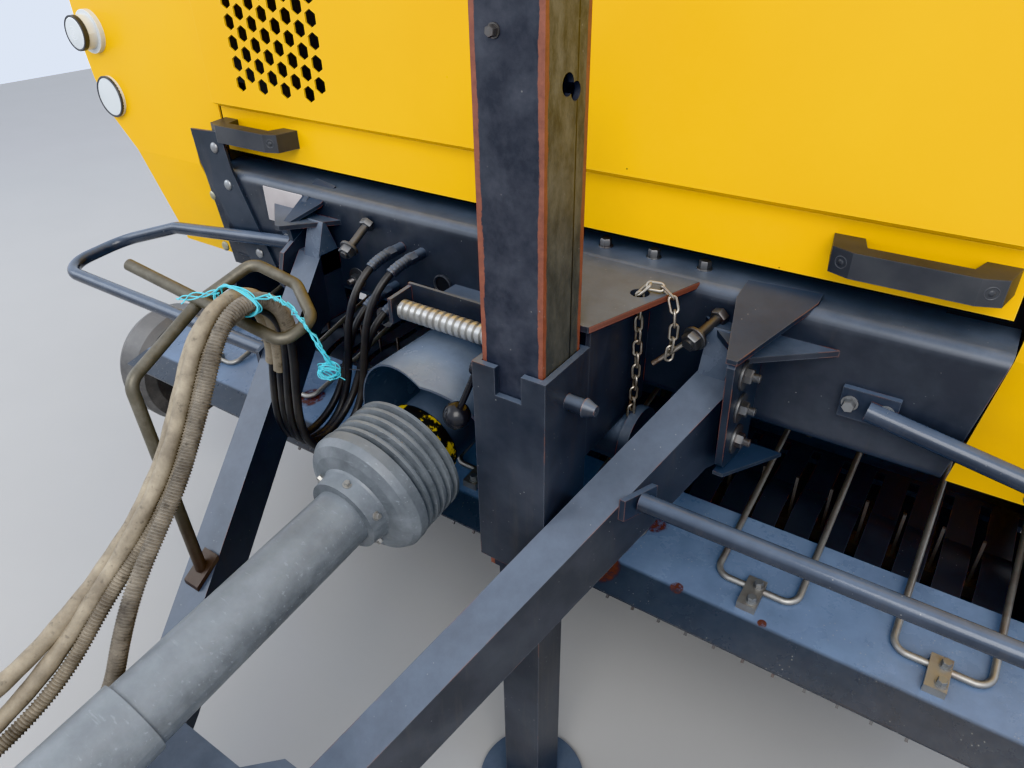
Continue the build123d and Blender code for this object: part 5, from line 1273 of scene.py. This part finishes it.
# curls at the tails' end
ball = points[-1]
for strand in range(twineLook["curls"]):
    phase = shake.uniform(0, 6.28)
    wide = shake.uniform(0.010, 0.017)
    tip = Vector((shake.uniform(-1, 1), shake.uniform(-1, 1), shake.uniform(-1, 0.6))).normalized()
    tip *= shake.uniform(0.012, 0.024)
    points = []
    for i in range(22):
        t = i / 21
        a = phase + t * 7.0
        curl = Vector((wide * math.cos(a), wide * 0.7 * math.sin(a * 1.3), wide * math.sin(a) - 0.012))
        points.append(ball + curl + tip * t * t)
    twine.sweep(points, twineLook["strand"] * 0.8, 5)
# short ends on the other side
for strand in range(twineLook["whiskers"]):
    points = []
    for i in range(12):
        t = i / 11
        sway = 0.006 * math.sin(5 * t + strand)
        dip = 0.004 * math.sin(7 * t + 2 * strand)
        points.append(knot + Vector((-0.050 - 0.060 * t + sway, -0.006 - 0.030 * t, 0.006 - 0.022 * t + dip)))
    twine.sweep(points, twineLook["strand"] * 0.9, 5)
twine.done("twineTie", "chassis", "twine")

# cable tie on the first stretch of the hoses
tieLook = {"place": (-0.253, -0.204, 0.858), "halfSize": (0.044, 0.014), "rise": 0.010, "strap": 0.0016}
tie = Maker()
wide, deep = tieLook["halfSize"]
spot = at(*tieLook["place"])
points = []
for a in around(36):
    points.append(spot + Vector((wide * math.cos(a), deep * math.sin(a), tieLook["rise"] * math.cos(a))))
tie.sweep(points, tieLook["strap"], 8, closedLoop=True)
tie.done("cableTie", "chassis", "black_plastic")
print("ties are in place")


# Drive line: shield tube behind the bell, its chipped yellow ring, screws and chaff on the bell

driveLook = {
    "start": (0.0, -0.200, 0.850),
    "drop": 7.2,
    "tubeRadius": 0.068,
    "ringRadius": 0.0745,
    "ringFrom": 0.098,
    "ringTo": 0.124,
    "screws": 6,
    "screwCircle": 0.0665,
    "screwPlace": 0.292,
    "chaffCount": 90,
    "chaffRadius": 0.1035,
    "chaffFrom": 0.142,
    "chaffTo": 0.250,
    "chaffSize": ((0.0012, 0.0030), (0.003, 0.012), (0.0006, 0.0014)),
}
drop = math.radians(driveLook["drop"])
driveWay = Vector((0, -math.cos(drop), -math.sin(drop)))
driveFrame = frameAt(at(*driveLook["start"]), driveWay)

shield = Maker()
outer = driveLook["tubeRadius"]
inner = outer - 0.006
shield.hoop(driveFrame, [(inner, 0.010), (outer, 0.010), (outer + 0.003, 0.014), (outer + 0.003, 0.026),
                         (outer, 0.030), (outer, 0.086), (outer - 0.002, 0.112), (inner, 0.112)], 40)
shield.done("inputShield", "chassis", "black_steel")

ring = Maker()
outer = driveLook["ringRadius"]
inner = outer - 0.008
low, high = driveLook["ringFrom"], driveLook["ringTo"]
ring.hoop(driveFrame, [(inner, low), (outer - 0.001, low), (outer, low + 0.002), (outer, high - 0.002),
                       (outer - 0.001, high), (inner, high)], 48)
ring.done("yellowRing", "chassis", "chipped_ring")

screws = Maker()
for a in around(driveLook["screws"], 0.3):
    place = driveFrame @ polar(driveLook["screwCircle"], a, driveLook["screwPlace"])
    screws.bolt(place, driveFrame.to_3x3() @ polar(1.0, a), 0.0052, washer=1.2, spin=a)
screws.done("guardScrews", "chassis", "bare_steel")

# the bell's own up is taken from the world, since the frame's Y may point either way
up = (Vector((0, 0, 1)) - driveWay * driveWay.z).normalized()
across = driveWay.cross(up)
chaff = Maker()
shake = random.Random(21)
for i in range(driveLook["chaffCount"]):
    a = math.radians(shake.gauss(90, 34))
    along = shake.uniform(driveLook["chaffFrom"], driveLook["chaffTo"])
    out = (up * math.sin(a) + across * math.cos(a)) * driveLook["chaffRadius"]
    size = [shake.uniform(*span) for span in driveLook["chaffSize"]]
    turn = shake.uniform(0, 6.28)
    axis = Vector((shake.random(), shake.random(), shake.random() + 0.1)).normalized()
    spot = Matrix.Translation(driveFrame.translation + driveWay * along + out)
    chaff.block(spot @ Matrix.Rotation(turn, 4, axis), size)
chaff.done("bellChaff", "chassis", "chaff")
print("drive line is dressed")


# Bolts of the rods, rails, handles and lamps

boltLook = {
    "rods": {"count": 7, "pitch": 0.29, "y": (-0.163, -0.128), "lift": 0.0146, "radius": 0.0078},
    "rails": {"x": (0.640, 0.690, -0.520, -0.572), "y": -0.0628, "z": 1.016, "radius": 0.0100},
    "post": {"place": (0.229, -0.3698, 1.531), "radius": 0.0068},
    "panels": {"x": (0.905, -0.905), "y": -0.0006, "z": (1.040, 0.905), "radius": 0.013},
    "handles": {
        "x": (0.581, 0.764), "y": -0.0556, "z": 1.224, "lean": 0.37,
        "profile": ((0.0100, -0.001), (0.0100, 0.0006), (0.0086, 0.0012), (0.0074, 0.0006), (0.0068, -0.0002),
                    (0.0050, 0.0002), (0.0036, 0.0016), (0.0014, 0.0019)),
    },
}


def guardTop(y):
    # height of the guard plate, which is steeper before its bend
    if y <= -0.190:
        return 0.617 + (y + 0.255) / 0.065 * 0.014
    return 0.631 + (y + 0.190) / 0.215 * 0.025


rodBolts = Maker()
look = boltLook["rods"]
for number in range(look["count"]):
    x = (number - 3) * look["pitch"]
    for y in look["y"]:
        place = at(x + 0.001 * number, y, guardTop(y) + look["lift"])
        rodBolts.bolt(place, (0, -0.13, 1), look["radius"], spin=number * 1.7 + y * 40)
rodBolts.done("rodClampBolts", "guard", "grey_zinc", "bare_steel")

railBolts = Maker()
look = boltLook["rails"]
for x in look["x"]:
    railBolts.bolt(at(x, look["y"], look["z"]), (0, -1, 0), look["radius"], spin=x * 20)
railBolts.done("railBolts", "chassis", "grey_zinc")

postBolt = Maker()
postBolt.bolt(at(*boltLook["post"]["place"]), (0, -1, 0), boltLook["post"]["radius"], spin=0.4)
postBolt.done("postBolt", "chassis", "dirty_bolt")

panelBolts = Maker()
look = boltLook["panels"]
for x in look["x"]:
    for z in look["z"]:
        panelBolts.carriageBolt(at(x, look["y"], z), (0, -1, 0), look["radius"])
panelBolts.done("panelBolts", "chassis", "zinc")

handleScrews = Maker()
look = boltLook["handles"]
for side in (-1, 1):
    for x, lean in zip(look["x"], (-look["lean"], look["lean"])):
        spot = frameAt(at(side * x, look["y"], look["z"]), Vector((side * lean, -0.93, 0)))
        handleScrews.lathe(spot, look["profile"], 22)
handleScrews.done("handleScrews", "hood", "black_plastic")

lampLook = {
    "upper": (1.245, -0.045, 1.394),
    "upperLens": 0.0355,
    "upperRings": 12,
    "lower": (1.235, -0.010, 1.242),
}
lampRims = Maker()
lenses = Maker()
for side in (-1, 1):
    x, y, z = lampLook["upper"]
    spot = frameAt(at(side * x, y, z), (0, -1, 0))
    wide = lampLook["upperLens"]
    # a domed lens with fine rings
    profile = []
    for i in range(lampLook["upperRings"] + 1):
        r = wide * (1 - i / lampLook["upperRings"])
        profile.append((max(r, 0.0006), 0.0006 + 0.0010 * (i % 2) + 0.003 * (1 - (r / wide) ** 2)))
    lenses.lathe(spot, profile, 32)
    lampRims.lathe(spot, [(0.0386, -0.012), (0.0405, -0.010), (0.0405, 0.0005), (0.0392, 0.0018),
                          (0.0362, 0.0014), (0.0358, -0.0010)], 32)
    x, y, z = lampLook["lower"]
    spot = frameAt(at(side * x, y, z), (0, -1, 0))
    lampRims.lathe(spot, [(0.0500, -0.004), (0.0505, 0.0005), (0.0490, 0.0022), (0.0462, 0.0022),
                          (0.0455, 0.0002)], 36)
    lenses.lathe(spot, [(0.0455, -0.0002), (0.0450, 0.0008), (0.0300, 0.0013), (0.0150, 0.0015),
                        (0.0010, 0.0016)], 36)
lampRims.done("lampRims", "chassis", "black_plastic")
lenses.done("lampLenses", "chassis", "lamp_plastic")
print("bolts, handles and lamps are dressed")
